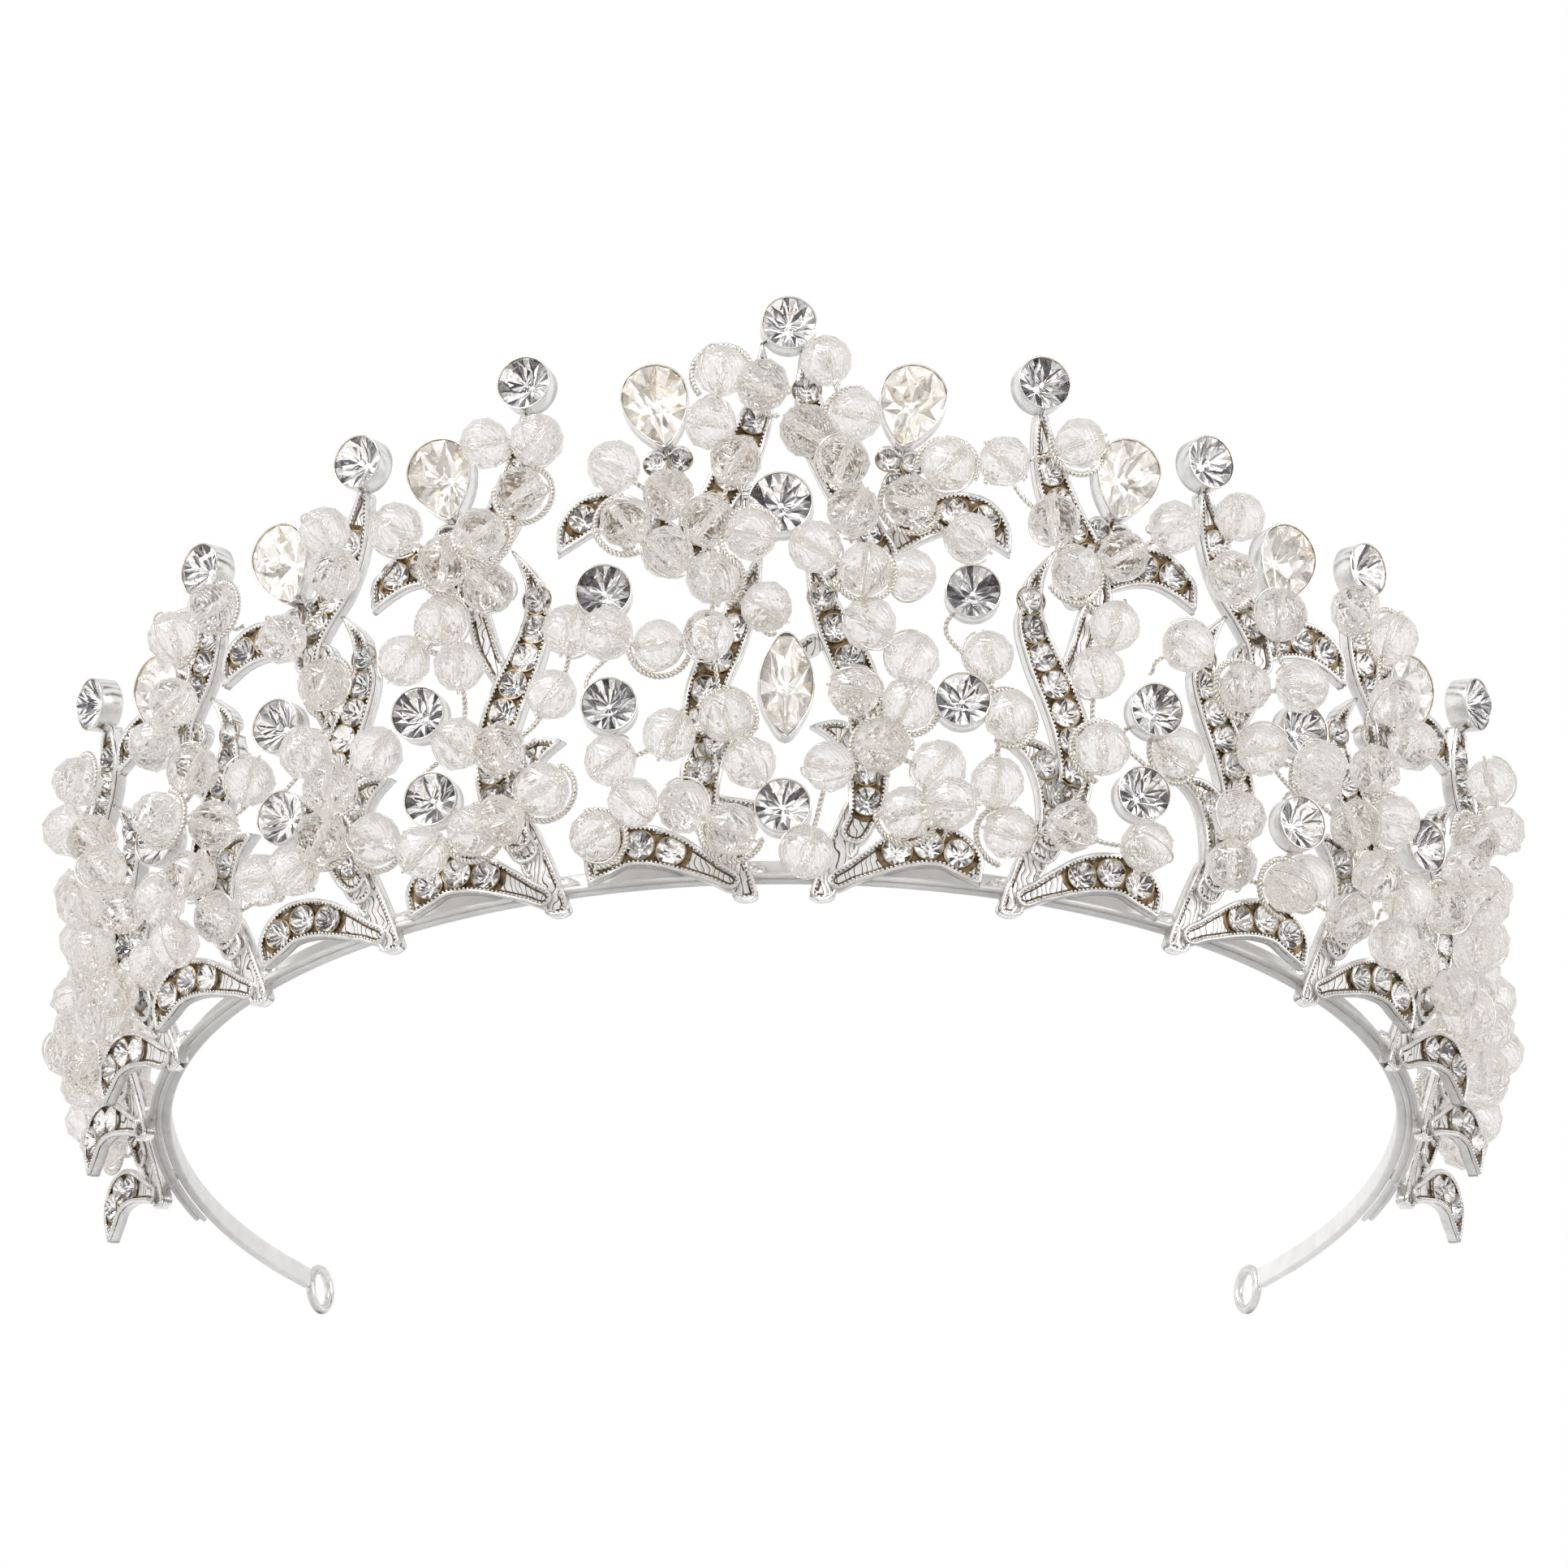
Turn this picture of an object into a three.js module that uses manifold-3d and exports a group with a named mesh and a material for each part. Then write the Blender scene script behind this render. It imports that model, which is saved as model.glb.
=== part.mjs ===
// A bridal tiara: cast, stone-set sprays soldered one after another round a springy headband,
// with faceted crystal beads threaded on wire sprigs in front of them.
// Millimetres, +Z up. The tiara stands on the feet of its sprays and on the loops at the ends of
// its headband, centred on the origin, with its front towards -Y.
import * as THREE from "three";
import { mergeVertices } from "three/addons/utils/BufferGeometryUtils.js";
import Module from "manifold-3d";

const wasm = await Module();
wasm.setup();

// Headband: a flat strip on edge. In plan its front is half an ellipse, and its legs follow a
// second, deeper ellipse of the same width.
const BAND_HALF_WIDTH = 74;
const BAND_FRONT_DEPTH = 71.5;
const BAND_BACK_DEPTH = 80;
const BAND_END_ANGLE = 126; // degrees round from the front to each end
const BAND_STEP_ANGLE = 4.5;
const STRIP_THICKNESS = 1.2;
const STRIP_BOTTOM = 2.6;
const STRIP_TOP = 5.2;

// End loops, which take a hair pin.
const LOOP_HALF_HEIGHT = 3.3;
const LOOP_HALF_LENGTH = 2.6;
const LOOP_WIRE = 1.2;

// Sprays: flat castings that lean out of the band by the flare, each with its foot on the band.
const FLARE = THREE.MathUtils.degToRad(8);
const GAP = 0.3; // clearance between pieces that touch
const SMALLEST = 0.05; // slivers smaller than this, left by joining, are merged away
const FIRST_FOOT = 4; // along the band from its front centre
const FOOT_PITCH = 21;
const LIFT = 1.6; // of each spray's own level zero above the ground
const UNITS = 7; // on each side
const TALL_UNITS = 5; // the inner ones, which carry the high branches
const CAST_BACK = STRIP_THICKNESS / 2 + GAP;
const CAST_THICKNESS = 1.4;
const CAST_FRONT = CAST_BACK + CAST_THICKNESS;
const SWING = [0, 0, 2, 6, 9, 20, 34]; // degrees that each unit turns out about its foot
const STAND_OFF = [0, 0, 0, 0.2, 0.4, 0.9, 1.5]; // of each foot from the band, beyond the gap
const SHRINK_FROM = 20; // the low part of every unit is alike, and what is above it shrinks
const SHRINK_STEP = 0.1; // outwards, by this share a unit
const LAST_TALL_LEAN = 6; // how far the outermost tall unit leans out at full height

// Stones.
const SMALL_STONE = 1.6; // radius of the stones set in the leaves
const TREFOIL_STONE = 1.35;
const STONE_RISE = 0.5; // height of a small stone above its leaf, as a share of its radius
const STONE_SINK = 0.3;
const CUP_WALL = 0.2;
const CUP_TOP = CAST_FRONT + 1.2;
const CUP_SIDES = 8;
const CHATON = { radius: 3, crown: 1.5, table: 0.55, depth: 0.8 };
const CENTRE_CHATON = { radius: 3.5, crown: 1.6, table: 0.55, depth: 0.8 };
const TEAR = { halfWidth: 3.7, round: 3.6, point: 6.2, crown: 2.2, table: 0.45, depth: 0.6 };
const NAVETTE = { halfWidth: 3, halfLength: 6, crown: 2, table: 0.4, depth: 0.6 };

// Beads and the wire that they are threaded on.
const BEAD_RADIUS = 3;
const WIRE_RADIUS = 0.5;
const BEAD_LEVELS = [4.3, 5.5, 6.7, 7.9, 9.1]; // the first lets a bead sit down between leaves
const SIDE_LEVELS = 3; // how many of those levels the side units use
const HOOK_PLACES = [[-1, 41], [-4.5, 46.5]]; // where the hook of the unit before reaches
const HOOK_LEVEL = CAST_FRONT + 2.4;
const FIRST_SIDE_UNIT = 4;
const BEAD_SPACING = 5.8;
const CUP_ROOM = 6.1; // between the centres of a bead and of a stone in a cup

// --- The headband's curve -------------------------------------------------------------------

function bandPoint(angle) {
  const depth = Math.cos(angle) > 0 ? BAND_FRONT_DEPTH : BAND_BACK_DEPTH;
  return new THREE.Vector2(
    BAND_HALF_WIDTH * Math.sin(angle),
    BAND_FRONT_DEPTH - depth * Math.cos(angle),
  );
}

// The point, and the direction along the band, at a distance from the front centre.
function bandAt(distance) {
  const fine = THREE.MathUtils.degToRad(0.1);
  let angle = 0;
  let run = 0;
  let point = bandPoint(0);
  let next = bandPoint(fine);
  while (run + point.distanceTo(next) < Math.abs(distance)) {
    run += point.distanceTo(next);
    angle += fine;
    point = next;
    next = bandPoint(angle + fine);
  }
  const heading = Math.atan2(next.y - point.y, next.x - point.x);
  const side = Math.sign(distance) || 1;
  return { x: side * point.x, y: point.y, heading: side * heading };
}

// --- Solids ---------------------------------------------------------------------------------

function solid(geometry) {
  const bare = geometry.clone();
  bare.deleteAttribute("normal");
  bare.deleteAttribute("uv");
  const merged = mergeVertices(bare, 1e-4);
  return new wasm.Manifold(
    new wasm.Mesh({
      numProp: 3,
      vertProperties: merged.attributes.position.array,
      triVerts: new Uint32Array(merged.index.array),
    }),
  );
}

function join(solids) {
  return solids.reduce((all, next) => all.add(next));
}

function geometryOf(made) {
  const { numProp, numVert, vertProperties, triVerts } = made.simplify(SMALLEST).getMesh();
  const corners = new Float32Array(numVert * 3);
  for (let i = 0; i < numVert; i++) {
    corners.set(vertProperties.subarray(i * numProp, i * numProp + 3), i * 3);
  }
  const geometry = new THREE.BufferGeometry();
  geometry.setAttribute("position", new THREE.BufferAttribute(corners, 3));
  geometry.setIndex(new THREE.BufferAttribute(triVerts, 1));
  return geometry;
}

// A flat shape made into a plate between two levels in front of the band.
function plate(shape, back, front) {
  const options = { depth: front - back, bevelEnabled: false, steps: 1, curveSegments: 3 };
  return solid(new THREE.ExtrudeGeometry(shape, options).translate(0, 0, back));
}

// A closed faceted form: rings of points, one above another, with a flat face at each end.
function stacked(rings) {
  const count = rings[0].length;
  const corners = rings.flat().flatMap((point) => [point.x, point.y, point.z]);
  const faces = [];
  for (let level = 0; level + 1 < rings.length; level++) {
    for (let i = 0; i < count; i++) {
      const a = level * count + i;
      const b = level * count + ((i + 1) % count);
      faces.push(a, b, b + count, a, b + count, a + count);
    }
  }
  const top = (rings.length - 1) * count;
  for (let i = 1; i + 1 < count; i++) {
    faces.push(0, i + 1, i);
    faces.push(top, top + i, top + i + 1);
  }
  const geometry = new THREE.BufferGeometry();
  geometry.setAttribute("position", new THREE.Float32BufferAttribute(corners, 3));
  geometry.setIndex(faces);
  return geometry;
}

// --- Materials ------------------------------------------------------------------------------

const silver = new THREE.MeshStandardMaterial({ color: 0xe9e7e4, roughness: 0.22, metalness: 1 });
const foiled = new THREE.MeshStandardMaterial({ color: 0xd9d6d4, roughness: 0.05, metalness: 0.6 });
const crystal = new THREE.MeshStandardMaterial({ color: 0xf4f2ef, roughness: 0.05, metalness: 0 });

// --- Stones ---------------------------------------------------------------------------------

function circle(radius, count) {
  return Array.from({ length: count }, (_, i) => {
    const turn = (i / count) * 2 * Math.PI;
    return new THREE.Vector2(radius * Math.cos(turn), radius * Math.sin(turn));
  });
}

// A pear outline, round at the top and coming to a point at the bottom.
function pear({ halfWidth, round, point }, count) {
  return Array.from({ length: count }, (_, i) => {
    const turn = (i / count) * 2 * Math.PI - Math.PI / 2;
    const up = Math.sin(turn);
    const narrow = up < 0 ? 1 - 0.45 * up * up : 1;
    return new THREE.Vector2(halfWidth * Math.cos(turn) * narrow, up > 0 ? up * round : up * point);
  });
}

// A pointed oval: two equal arcs that meet at the top and the bottom.
function pointedOval({ halfWidth, halfLength }, count) {
  const radius = (halfLength ** 2 + halfWidth ** 2) / (2 * halfWidth);
  const half = Math.asin(halfLength / radius);
  return Array.from({ length: count }, (_, i) => {
    const right = i < count / 2;
    const share = (i % (count / 2)) / (count / 2);
    const turn = (2 * share - 1) * half;
    const x = radius * Math.cos(turn) - (radius - halfWidth);
    return right
      ? new THREE.Vector2(x, radius * Math.sin(turn))
      : new THREE.Vector2(-x, -radius * Math.sin(turn));
  });
}

// A cut stone over an outline: it widens from its back to the girdle and narrows to its table.
function cutStone(outline, { crown, table, depth }) {
  const ring = (scale, z) => outline.map((p) => new THREE.Vector3(p.x * scale, p.y * scale, z));
  const back = CUP_TOP + GAP;
  return stacked([ring(0.8, back), ring(1, back + depth), ring(table, back + depth + crown)]);
}

function cup(outline, at, turn = 0) {
  const grown = outline.map((p) => {
    const q = p.clone().multiplyScalar(1 + CUP_WALL / p.length());
    return q.rotateAround(new THREE.Vector2(), turn).add(at);
  });
  return plate(new THREE.Shape(grown), CAST_BACK, CUP_TOP);
}

// --- Leaves ---------------------------------------------------------------------------------

// A leaf or stem: a centreline from its root to its tip, widest where `belly` says, with stones at
// shares of its length. `root` is its width at the root as a share of the widest, `tip` makes the
// end more pointed as it grows, and `level` is how far its face stands proud of the stems' faces.
const LOWER_LEAF = {
  line: [[1.2, 0.2], [5.5, 2.6], [10.5, 4.8], [15.2, 4.4], [18, 0.4]],
  width: 4.8, belly: 0.66, root: 0.3, tip: 0.5, level: 0.15, stones: [0.42, 0.6, 0.78],
};
const STEM = {
  line: [[0, -3], [0.6, 0], [2, 3.4], [3.6, 7.4], [5, 12]],
  width: 3.4, belly: 0.7, root: 0.7, tip: 1, level: 0, stones: [],
};
const CRESCENT = {
  line: [[3.4, 5.4], [5.2, 9.5], [5, 14.4], [2.6, 17.8], [-1.2, 18.8]],
  width: 4.6, belly: 0.5, root: 0.5, tip: 1, level: 0.3, stones: [0.28, 0.48, 0.68],
};
const BRANCH = {
  line: [[4, 7], [7, 12], [7.2, 18.5], [5.3, 25], [2.6, 31], [1.2, 36], [1.8, 40.5], [4, 45]],
  width: 4.6, belly: 0.45, root: 0.5, tip: 1, level: 0.45,
  stones: [0.18, 0.27, 0.36, 0.45, 0.54, 0.63, 0.72, 0.81],
};
const HOOK_STEM = {
  line: [[5, 26], [7.2, 31], [8.4, 36], [9.4, 42.5]],
  width: 2.8, belly: 0.5, root: 0.6, tip: 1, level: 0, stones: [],
};
const HOOK = {
  line: [[6, 38.6], [10.4, 42.6], [15, 44.8], [18.8, 43.8], [21.4, 39.6]],
  width: 4.6, belly: 0.62, root: 0.4, tip: 0.8, level: 0.15, stones: [0.36, 0.55, 0.74],
};
const SPIKE = {
  line: [[9.6, 38], [8.6, 44], [5.6, 49.5], [3.4, 56], [2, 65]],
  width: 4.4, belly: 0.45, root: 0.5, tip: 1, level: 0.3, stones: [0.24, 0.38, 0.52, 0.66],
};
const TREFOIL_STEM = {
  line: [[12, 41.5], [9.6, 46], [8.8, 52]],
  width: 2.6, belly: 0.4, root: 0.6, tip: 1, level: 0, stones: [],
};

// The two inmost units have strips that make an A over the centre stones.
const UPPER_STRIP = {
  line: [[7.4, 38.6], [3.9, 44.6], [0.2, 52], [-1.7, 58], [-2, 65]],
  width: 4.4, belly: 0.45, root: 0.6, tip: 1, level: 0.3,
  stones: [0.14, 0.27, 0.4, 0.53, 0.66, 0.79],
};
const LOWER_STRIP = {
  line: [[4.6, 13], [5.4, 19], [4, 25], [1, 31.5], [-1.9, 40]],
  width: 4.6, belly: 0.45, root: 0.5, tip: 1, level: 0.45, stones: [0.22, 0.36, 0.5, 0.64, 0.78],
};
const STRIP_LINK = {
  line: [[-0.4, 34], [2.6, 37.4], [7, 41.5]],
  width: 2.6, belly: 0.5, root: 0.6, tip: 0.5, level: 0, stones: [],
};

const SPIKE_TOP = 66.4;
const SPIKE_ROOT = 38; // each spike leans evenly from here to its stone
const SPIKE_OUT = [0, 1.2, -0.8, 2, 2]; // of each tall unit's spike stone from its foot
const TEARS = [[10.3, 58], [12, 56.6], [11, 56], [11.4, 50]];
const TEAR_TURN = 0.2; // radians that a teardrop's point turns in towards the centre
const TEAR_SIDES = 10;
const CENTRE_HEIGHT = 44.6; // of the stones on the centre line
const NAVETTE_HEIGHT = 23;
const BASE_HEIGHT = 8.6;
const TREFOIL_SHIFT = 45; // above this a teardrop's stem shifts sideways with the teardrop
const TREFOIL = [[-2.8, -7.1], [-0.1, -7.6], [-1.9, -10]]; // from the teardrop's centre

const LEAF_STATIONS = 5;
const STATION_SPACING = 13;

function leafLine(leaf, place) {
  return new THREE.SplineCurve(leaf.line.map(([x, y]) => place(x, y)));
}

// Half the width of a leaf at a share of its length.
function halfWidth({ width, belly, root, tip }, share) {
  const full = width / 2;
  if (share < belly) return full * (root + (1 - root) * Math.sin((Math.PI / 2) * (share / belly)));
  const past = (share - belly) / (1 - belly);
  return full * (1 - past ** 2) ** tip;
}

function leafPlate(leaf, place) {
  const curve = leafLine(leaf, place);
  const stations = LEAF_STATIONS + Math.round(curve.getLength() / STATION_SPACING);
  const left = [];
  const right = [];
  for (let i = 0; i < stations; i++) {
    const share = i / stations;
    const half = halfWidth(leaf, share);
    const at = curve.getPointAt(share);
    const across = curve.getTangentAt(share).rotateAround(new THREE.Vector2(), Math.PI / 2);
    left.push(at.clone().addScaledVector(across, half));
    right.unshift(at.clone().addScaledVector(across, -half));
  }
  const outline = [...left, curve.getPoint(1), ...right];
  return plate(new THREE.Shape(outline), CAST_BACK, CAST_FRONT + leaf.level);
}

// A small stone stands up from its leaf as a three-sided point.
function smallStone(at, radius, level) {
  const rise = radius * STONE_RISE;
  const height = rise + STONE_SINK;
  const cone = new THREE.ConeGeometry((radius * height) / rise, height, 3, 1);
  cone.rotateX(Math.PI / 2).translate(at.x, at.y, level - STONE_SINK + height / 2);
  return solid(cone);
}

function leaf(form, place) {
  const curve = leafLine(form, place);
  const stones = form.stones.map((share) =>
    smallStone(curve.getPointAt(share), SMALL_STONE, CAST_FRONT + form.level),
  );
  return join([leafPlate(form, place), ...stones]);
}

// A bar that ties a cup to the nearest leaf.
function tie(from, to) {
  const along = to.clone().sub(from);
  const bar = new THREE.BoxGeometry(along.length(), 1.6, CAST_THICKNESS);
  bar.rotateZ(along.angle());
  const middle = from.clone().add(to).divideScalar(2);
  return solid(bar.translate(middle.x, middle.y, (CAST_BACK + CAST_FRONT) / 2));
}

// --- Beads ----------------------------------------------------------------------------------

// Bead places on each unit: along the band from the unit's foot, and height. The wire runs from
// the first to the last of a sprig. The front units differ from side to side.
const OUTER_SPRIGS = [
  [[-3.9, 11.8], [2.6, 9], [10.4, 8.4], [12.2, 14.4], [5.6, 15], [2.1, 20.4], [7.6, 23.4],
    [-3.4, 26], [3.4, 30.6], [-2, 36], [9.8, 38], [3.4, 42], [-2, 47.6], [-0.7, 57.6], [6.3, 56]],
  [[-2, 11], [4.4, 9.6], [10.6, 9.4], [8.4, 16.6], [1.6, 19.4], [14, 20.6], [8.6, 25], [2.4, 28.6],
    [13, 31], [-2.6, 37.4], [5.6, 37.6], [11, 43.6], [4.6, 50], [-2, 50]],
  [[-1.6, 10.4], [5, 9], [11.4, 9.6], [8.6, 15.8], [1.6, 17], [15.4, 15.4], [11.4, 21.6], [5.6, 23.4], [-3.4, 21.6],
    [0.6, 28], [6.6, 29.6], [12, 28], [3.2, 34.6]],
  [[-1, 11.6], [5, 8.6], [10.8, 10.6], [15, 15.4], [9.4, 17], [4, 15.4], [-1.4, 18.4]],
];
const SPRIGS = {
  right: [
    [[-1.5, 2.8], [0.8, 13], [6.6, 15.2], [9.5, 7.8], [14.3, 7.8], [13.2, 13.6], [9.7, 20.6],
      [3.5, 21.6], [5.2, 30], [10.2, 26.4], [10, 36.4], [4.6, 35.6], [-1, 38.6], [3.3, 43],
      [9.9, 44.8], [16.6, 40.6], [14, 48.9], [2.1, 48.9], [-2, 53], [3.6, 55], [0.2, 61.5]],
    [[15.1, 7.7], [5.7, 8.3], [-1, 7.2], [-3, 12.6], [9, 18], [-1.8, 20.8], [-4.2, 28.7],
      [8.5, 28.3], [10.4, 34.8], [4.7, 40.2], [10.7, 43.8], [17.3, 49.3], [2.7, 47.7], [-3.2, 55],
      [5.5, 58.6]],
    [[13, 8.4], [4, 8.6], [4.6, 14.4], [-2.7, 21.4], [7.2, 24.1], [13.7, 22.7], [10.6, 34],
      [-4.6, 35.6], [4.4, 32.6], [2.5, 40.5], [8.7, 45.2], [0.8, 47.9], [3, 58.8]],
    ...OUTER_SPRIGS,
  ],
  left: [
    [[1.7, 5.6], [6.9, 8], [12.7, 9], [16.9, 4.8], [15.3, 14.4], [8.6, 16.9], [6.1, 12.6],
      [-0.4, 13.8], [2.3, 19], [9.8, 28], [15.4, 27.8], [4.1, 28.2], [-2.4, 31.8], [3.6, 35.4],
      [8.8, 38.6], [13.5, 41.9], [14.9, 49.5], [8.6, 45.5], [4, 41.8], [-0.9, 39.2], [0.9, 49],
      [3.8, 54], [2.6, 60.8], [-2.2, 58]],
    [[15, 7], [9, 8.7], [4.4, 8.1], [0.4, 12.3], [5, 17.4], [10.4, 19.2], [-0.7, 24.2],
      [-3, 32.3], [9.9, 29.3], [16.9, 31.7], [12.2, 36.1], [6, 39], [10.8, 43], [16.9, 49],
      [5.6, 45], [1.7, 51.3], [5.8, 58.6], [-0.5, 57.9]],
    [[11.6, 10.4], [5.9, 12.3], [0.2, 11.2], [2.7, 16.8], [-1.6, 21.2], [7.3, 23.6],
      [5.1, 33.6], [2.6, 41.4], [9.6, 41.8], [0.3, 48], [2.8, 56]],
    ...OUTER_SPRIGS,
  ],
};

// Round stones in cups on the ends of the wires, along and height, one or two to a unit.
const WIRE_STONES = {
  right: [[[17, 34.2], [15.8, 21.3]], [[15.9, 24.6], [14.7, 14]], [[14, 29.8], [14.4, 16.6]],
    [[15, 23]], [], [], []],
  left: [[[16, 34.2], [15.4, 20.7]], [[15.1, 24], [13.9, 13.2]], [[12.2, 29.8], [12.3, 16.7]],
    [[12.6, 23]], [], [], []],
};
const WIRE_STONE_LEVEL = 0.8; // how much further forward than the spikes' stones they stand

function bead(at, radius) {
  return solid(new THREE.IcosahedronGeometry(radius, 0).translate(at.x, at.y, at.z));
}

function wire(from, to) {
  const along = to.clone().sub(from);
  const rod = new THREE.CylinderGeometry(WIRE_RADIUS, WIRE_RADIUS, along.length(), 3, 1);
  const turn = new THREE.Quaternion().setFromUnitVectors(
    new THREE.Vector3(0, 1, 0),
    along.clone().normalize(),
  );
  const middle = from.clone().add(to).divideScalar(2);
  return solid(rod.applyQuaternion(turn).translate(middle.x, middle.y, middle.z));
}

// Each bead takes the lowest level at which it clears the casting, and the beads and stones
// already in place. It is left out if none does.
function settle(spots, levels, taken, casting) {
  const beads = [];
  for (const spot of spots) {
    const level = levels.find((z) => {
      const at = new THREE.Vector3(spot.x, spot.y, z);
      const clear = taken.every((other) => other.at.distanceTo(at) > other.room);
      return clear && bead(at, BEAD_RADIUS + GAP).intersect(casting).isEmpty();
    });
    if (level === undefined) continue;
    const at = new THREE.Vector3(spot.x, spot.y, level);
    taken.push({ at, room: BEAD_SPACING });
    beads.push(at);
  }
  return beads;
}

// The round stones of a unit, with the wire behind them that joins a pair.
function wireStones(spots) {
  const back = CUP_TOP + GAP + WIRE_STONE_LEVEL;
  const stones = spots.map((at) => {
    const cut = cutStone(circle(CHATON.radius, CUP_SIDES), CHATON);
    return solid(cut.translate(at.x, at.y, WIRE_STONE_LEVEL));
  });
  const ends = spots.map((at) => new THREE.Vector3(at.x, at.y, back + WIRE_RADIUS));
  return join(ends.length > 1 ? [...stones, wire(...ends)] : stones);
}

function sprig(beads) {
  const wires = beads.slice(1).map((at, i) => wire(beads[i], at));
  return join([...beads.map((at) => bead(at, BEAD_RADIUS)), ...wires]);
}

// --- Assembly -------------------------------------------------------------------------------

const tiara = new THREE.Group();
const stand = new THREE.Group(); // everything, moved so that the tiara is centred
tiara.add(stand);

function add(parent, name, geometry, material) {
  const mesh = new THREE.Mesh(geometry, material);
  mesh.name = name;
  parent.add(mesh);
  return mesh;
}

function headband() {
  const count = (2 * BAND_END_ANGLE) / BAND_STEP_ANGLE;
  const rings = [];
  for (let i = 0; i <= count; i++) {
    const angle = THREE.MathUtils.degToRad(i * BAND_STEP_ANGLE - BAND_END_ANGLE);
    const at = bandPoint(angle);
    const along = bandPoint(angle + 1e-3).sub(bandPoint(angle - 1e-3)).normalize();
    const out = new THREE.Vector2(along.y, -along.x).multiplyScalar(STRIP_THICKNESS / 2);
    const corner = (side, z) => new THREE.Vector3(at.x + side * out.x, at.y + side * out.y, z);
    rings.push([
      corner(-1, STRIP_BOTTOM),
      corner(-1, STRIP_TOP),
      corner(1, STRIP_TOP),
      corner(1, STRIP_BOTTOM),
    ]);
  }
  return stacked(rings);
}

function endLoop(side) {
  const end = THREE.MathUtils.degToRad(BAND_END_ANGLE);
  const at = bandPoint(end);
  const along = at.clone().sub(bandPoint(end - 0.02)).normalize();
  const ring = new THREE.Shape();
  ring.absellipse(0, 0, LOOP_HALF_LENGTH, LOOP_HALF_HEIGHT, 0, 2 * Math.PI);
  const hole = new THREE.Path();
  hole.absellipse(0, 0, LOOP_HALF_LENGTH - LOOP_WIRE, LOOP_HALF_HEIGHT - LOOP_WIRE, 0, 2 * Math.PI);
  ring.holes.push(hole);
  const options = { depth: LOOP_WIRE, bevelEnabled: false, steps: 1, curveSegments: 9 };
  const geometry = new THREE.ExtrudeGeometry(ring, options).translate(0, 0, -LOOP_WIRE / 2);
  const loop = new THREE.Group();
  const reach = LOOP_HALF_LENGTH + GAP;
  loop.position.set(side * (at.x + along.x * reach), at.y + along.y * reach, LOOP_HALF_HEIGHT);
  loop.rotation.z = Math.atan2(along.y, side * along.x);
  const name = side > 0 ? "end_loop_right" : "end_loop_left";
  add(loop, name, geometry, silver).rotation.x = Math.PI / 2;
  return loop;
}

// The frame of a unit: +X along the band away from the centre on the right side and towards it
// on the left, +Y up its face, +Z forward.
function unitFrame(side, unit) {
  const { x, y, heading } = bandAt(side * (FIRST_FOOT + FOOT_PITCH * unit));
  const turned = new THREE.Group();
  turned.position.set(x, y, 0);
  turned.rotation.z = heading - side * THREE.MathUtils.degToRad(SWING[unit]);
  const face = new THREE.Group();
  face.rotation.x = Math.PI / 2 + FLARE;
  face.position.z = LIFT;
  face.position.y = -STAND_OFF[unit];
  turned.add(face);
  stand.add(turned);
  return face;
}

function unitCasting(side, unit, place) {
  const parts = [leaf(LOWER_LEAF, place), leaf(STEM, place), leaf(CRESCENT, place)];
  if (unit === 0) {
    parts.push(leaf(UPPER_STRIP, place), leaf(LOWER_STRIP, place), leaf(STRIP_LINK, place));
  } else if (unit < TALL_UNITS) {
    const spikeLean = (SPIKE_OUT[unit] - 2) / (SPIKE_TOP - SPIKE_ROOT);
    const toSpike = (x, y) => place(x + spikeLean * (y - SPIKE_ROOT), y);
    parts.push(leaf(BRANCH, place), leaf(HOOK_STEM, place), leaf(SPIKE, toSpike));
  }
  if (unit < TALL_UNITS - 1) {
    const [out, height] = TEARS[unit];
    const tearAt = place(out, height);
    const [shiftX, shiftY] = [out - TEARS[0][0], height - TEARS[0][1]];
    const shift = (x, y) => place(x + (y > TREFOIL_SHIFT ? shiftX : 0), y + shiftY);
    parts.push(leaf(HOOK, place), leaf(TREFOIL_STEM, shift));
    for (const [x, y] of TREFOIL) {
      const at = tearAt.clone().add(new THREE.Vector2(side * x, y));
      const seat = circle(TREFOIL_STONE + 0.3, 6).map((p) => p.add(at));
      parts.push(plate(new THREE.Shape(seat), CAST_BACK, CAST_FRONT));
      parts.push(smallStone(at, TREFOIL_STONE, CAST_FRONT));
    }
  }
  for (const { outline, at, turn } of cupStones(side, unit, place)) {
    parts.push(cup(outline, at, turn));
  }
  if (unit === 0 && side > 0) {
    parts.push(tie(place(-FIRST_FOOT, SPIKE_TOP), place(-1.8, 61)));
    parts.push(tie(place(-FIRST_FOOT, NAVETTE_HEIGHT + 4), place(2, 30)));
  }
  if (unit === 0 && side < 0) {
    parts.push(tie(place(-FIRST_FOOT, CENTRE_HEIGHT), place(3, 46)));
    parts.push(tie(place(-FIRST_FOOT, BASE_HEIGHT), place(4, 10)));
  }
  // The foot is cut off level, so that the tiara stands flat.
  const ground = new THREE.BoxGeometry(60, 20, 60).translate(0, -10 - LIFT, 0).rotateX(-FLARE);
  return join(parts).subtract(solid(ground));
}

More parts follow.
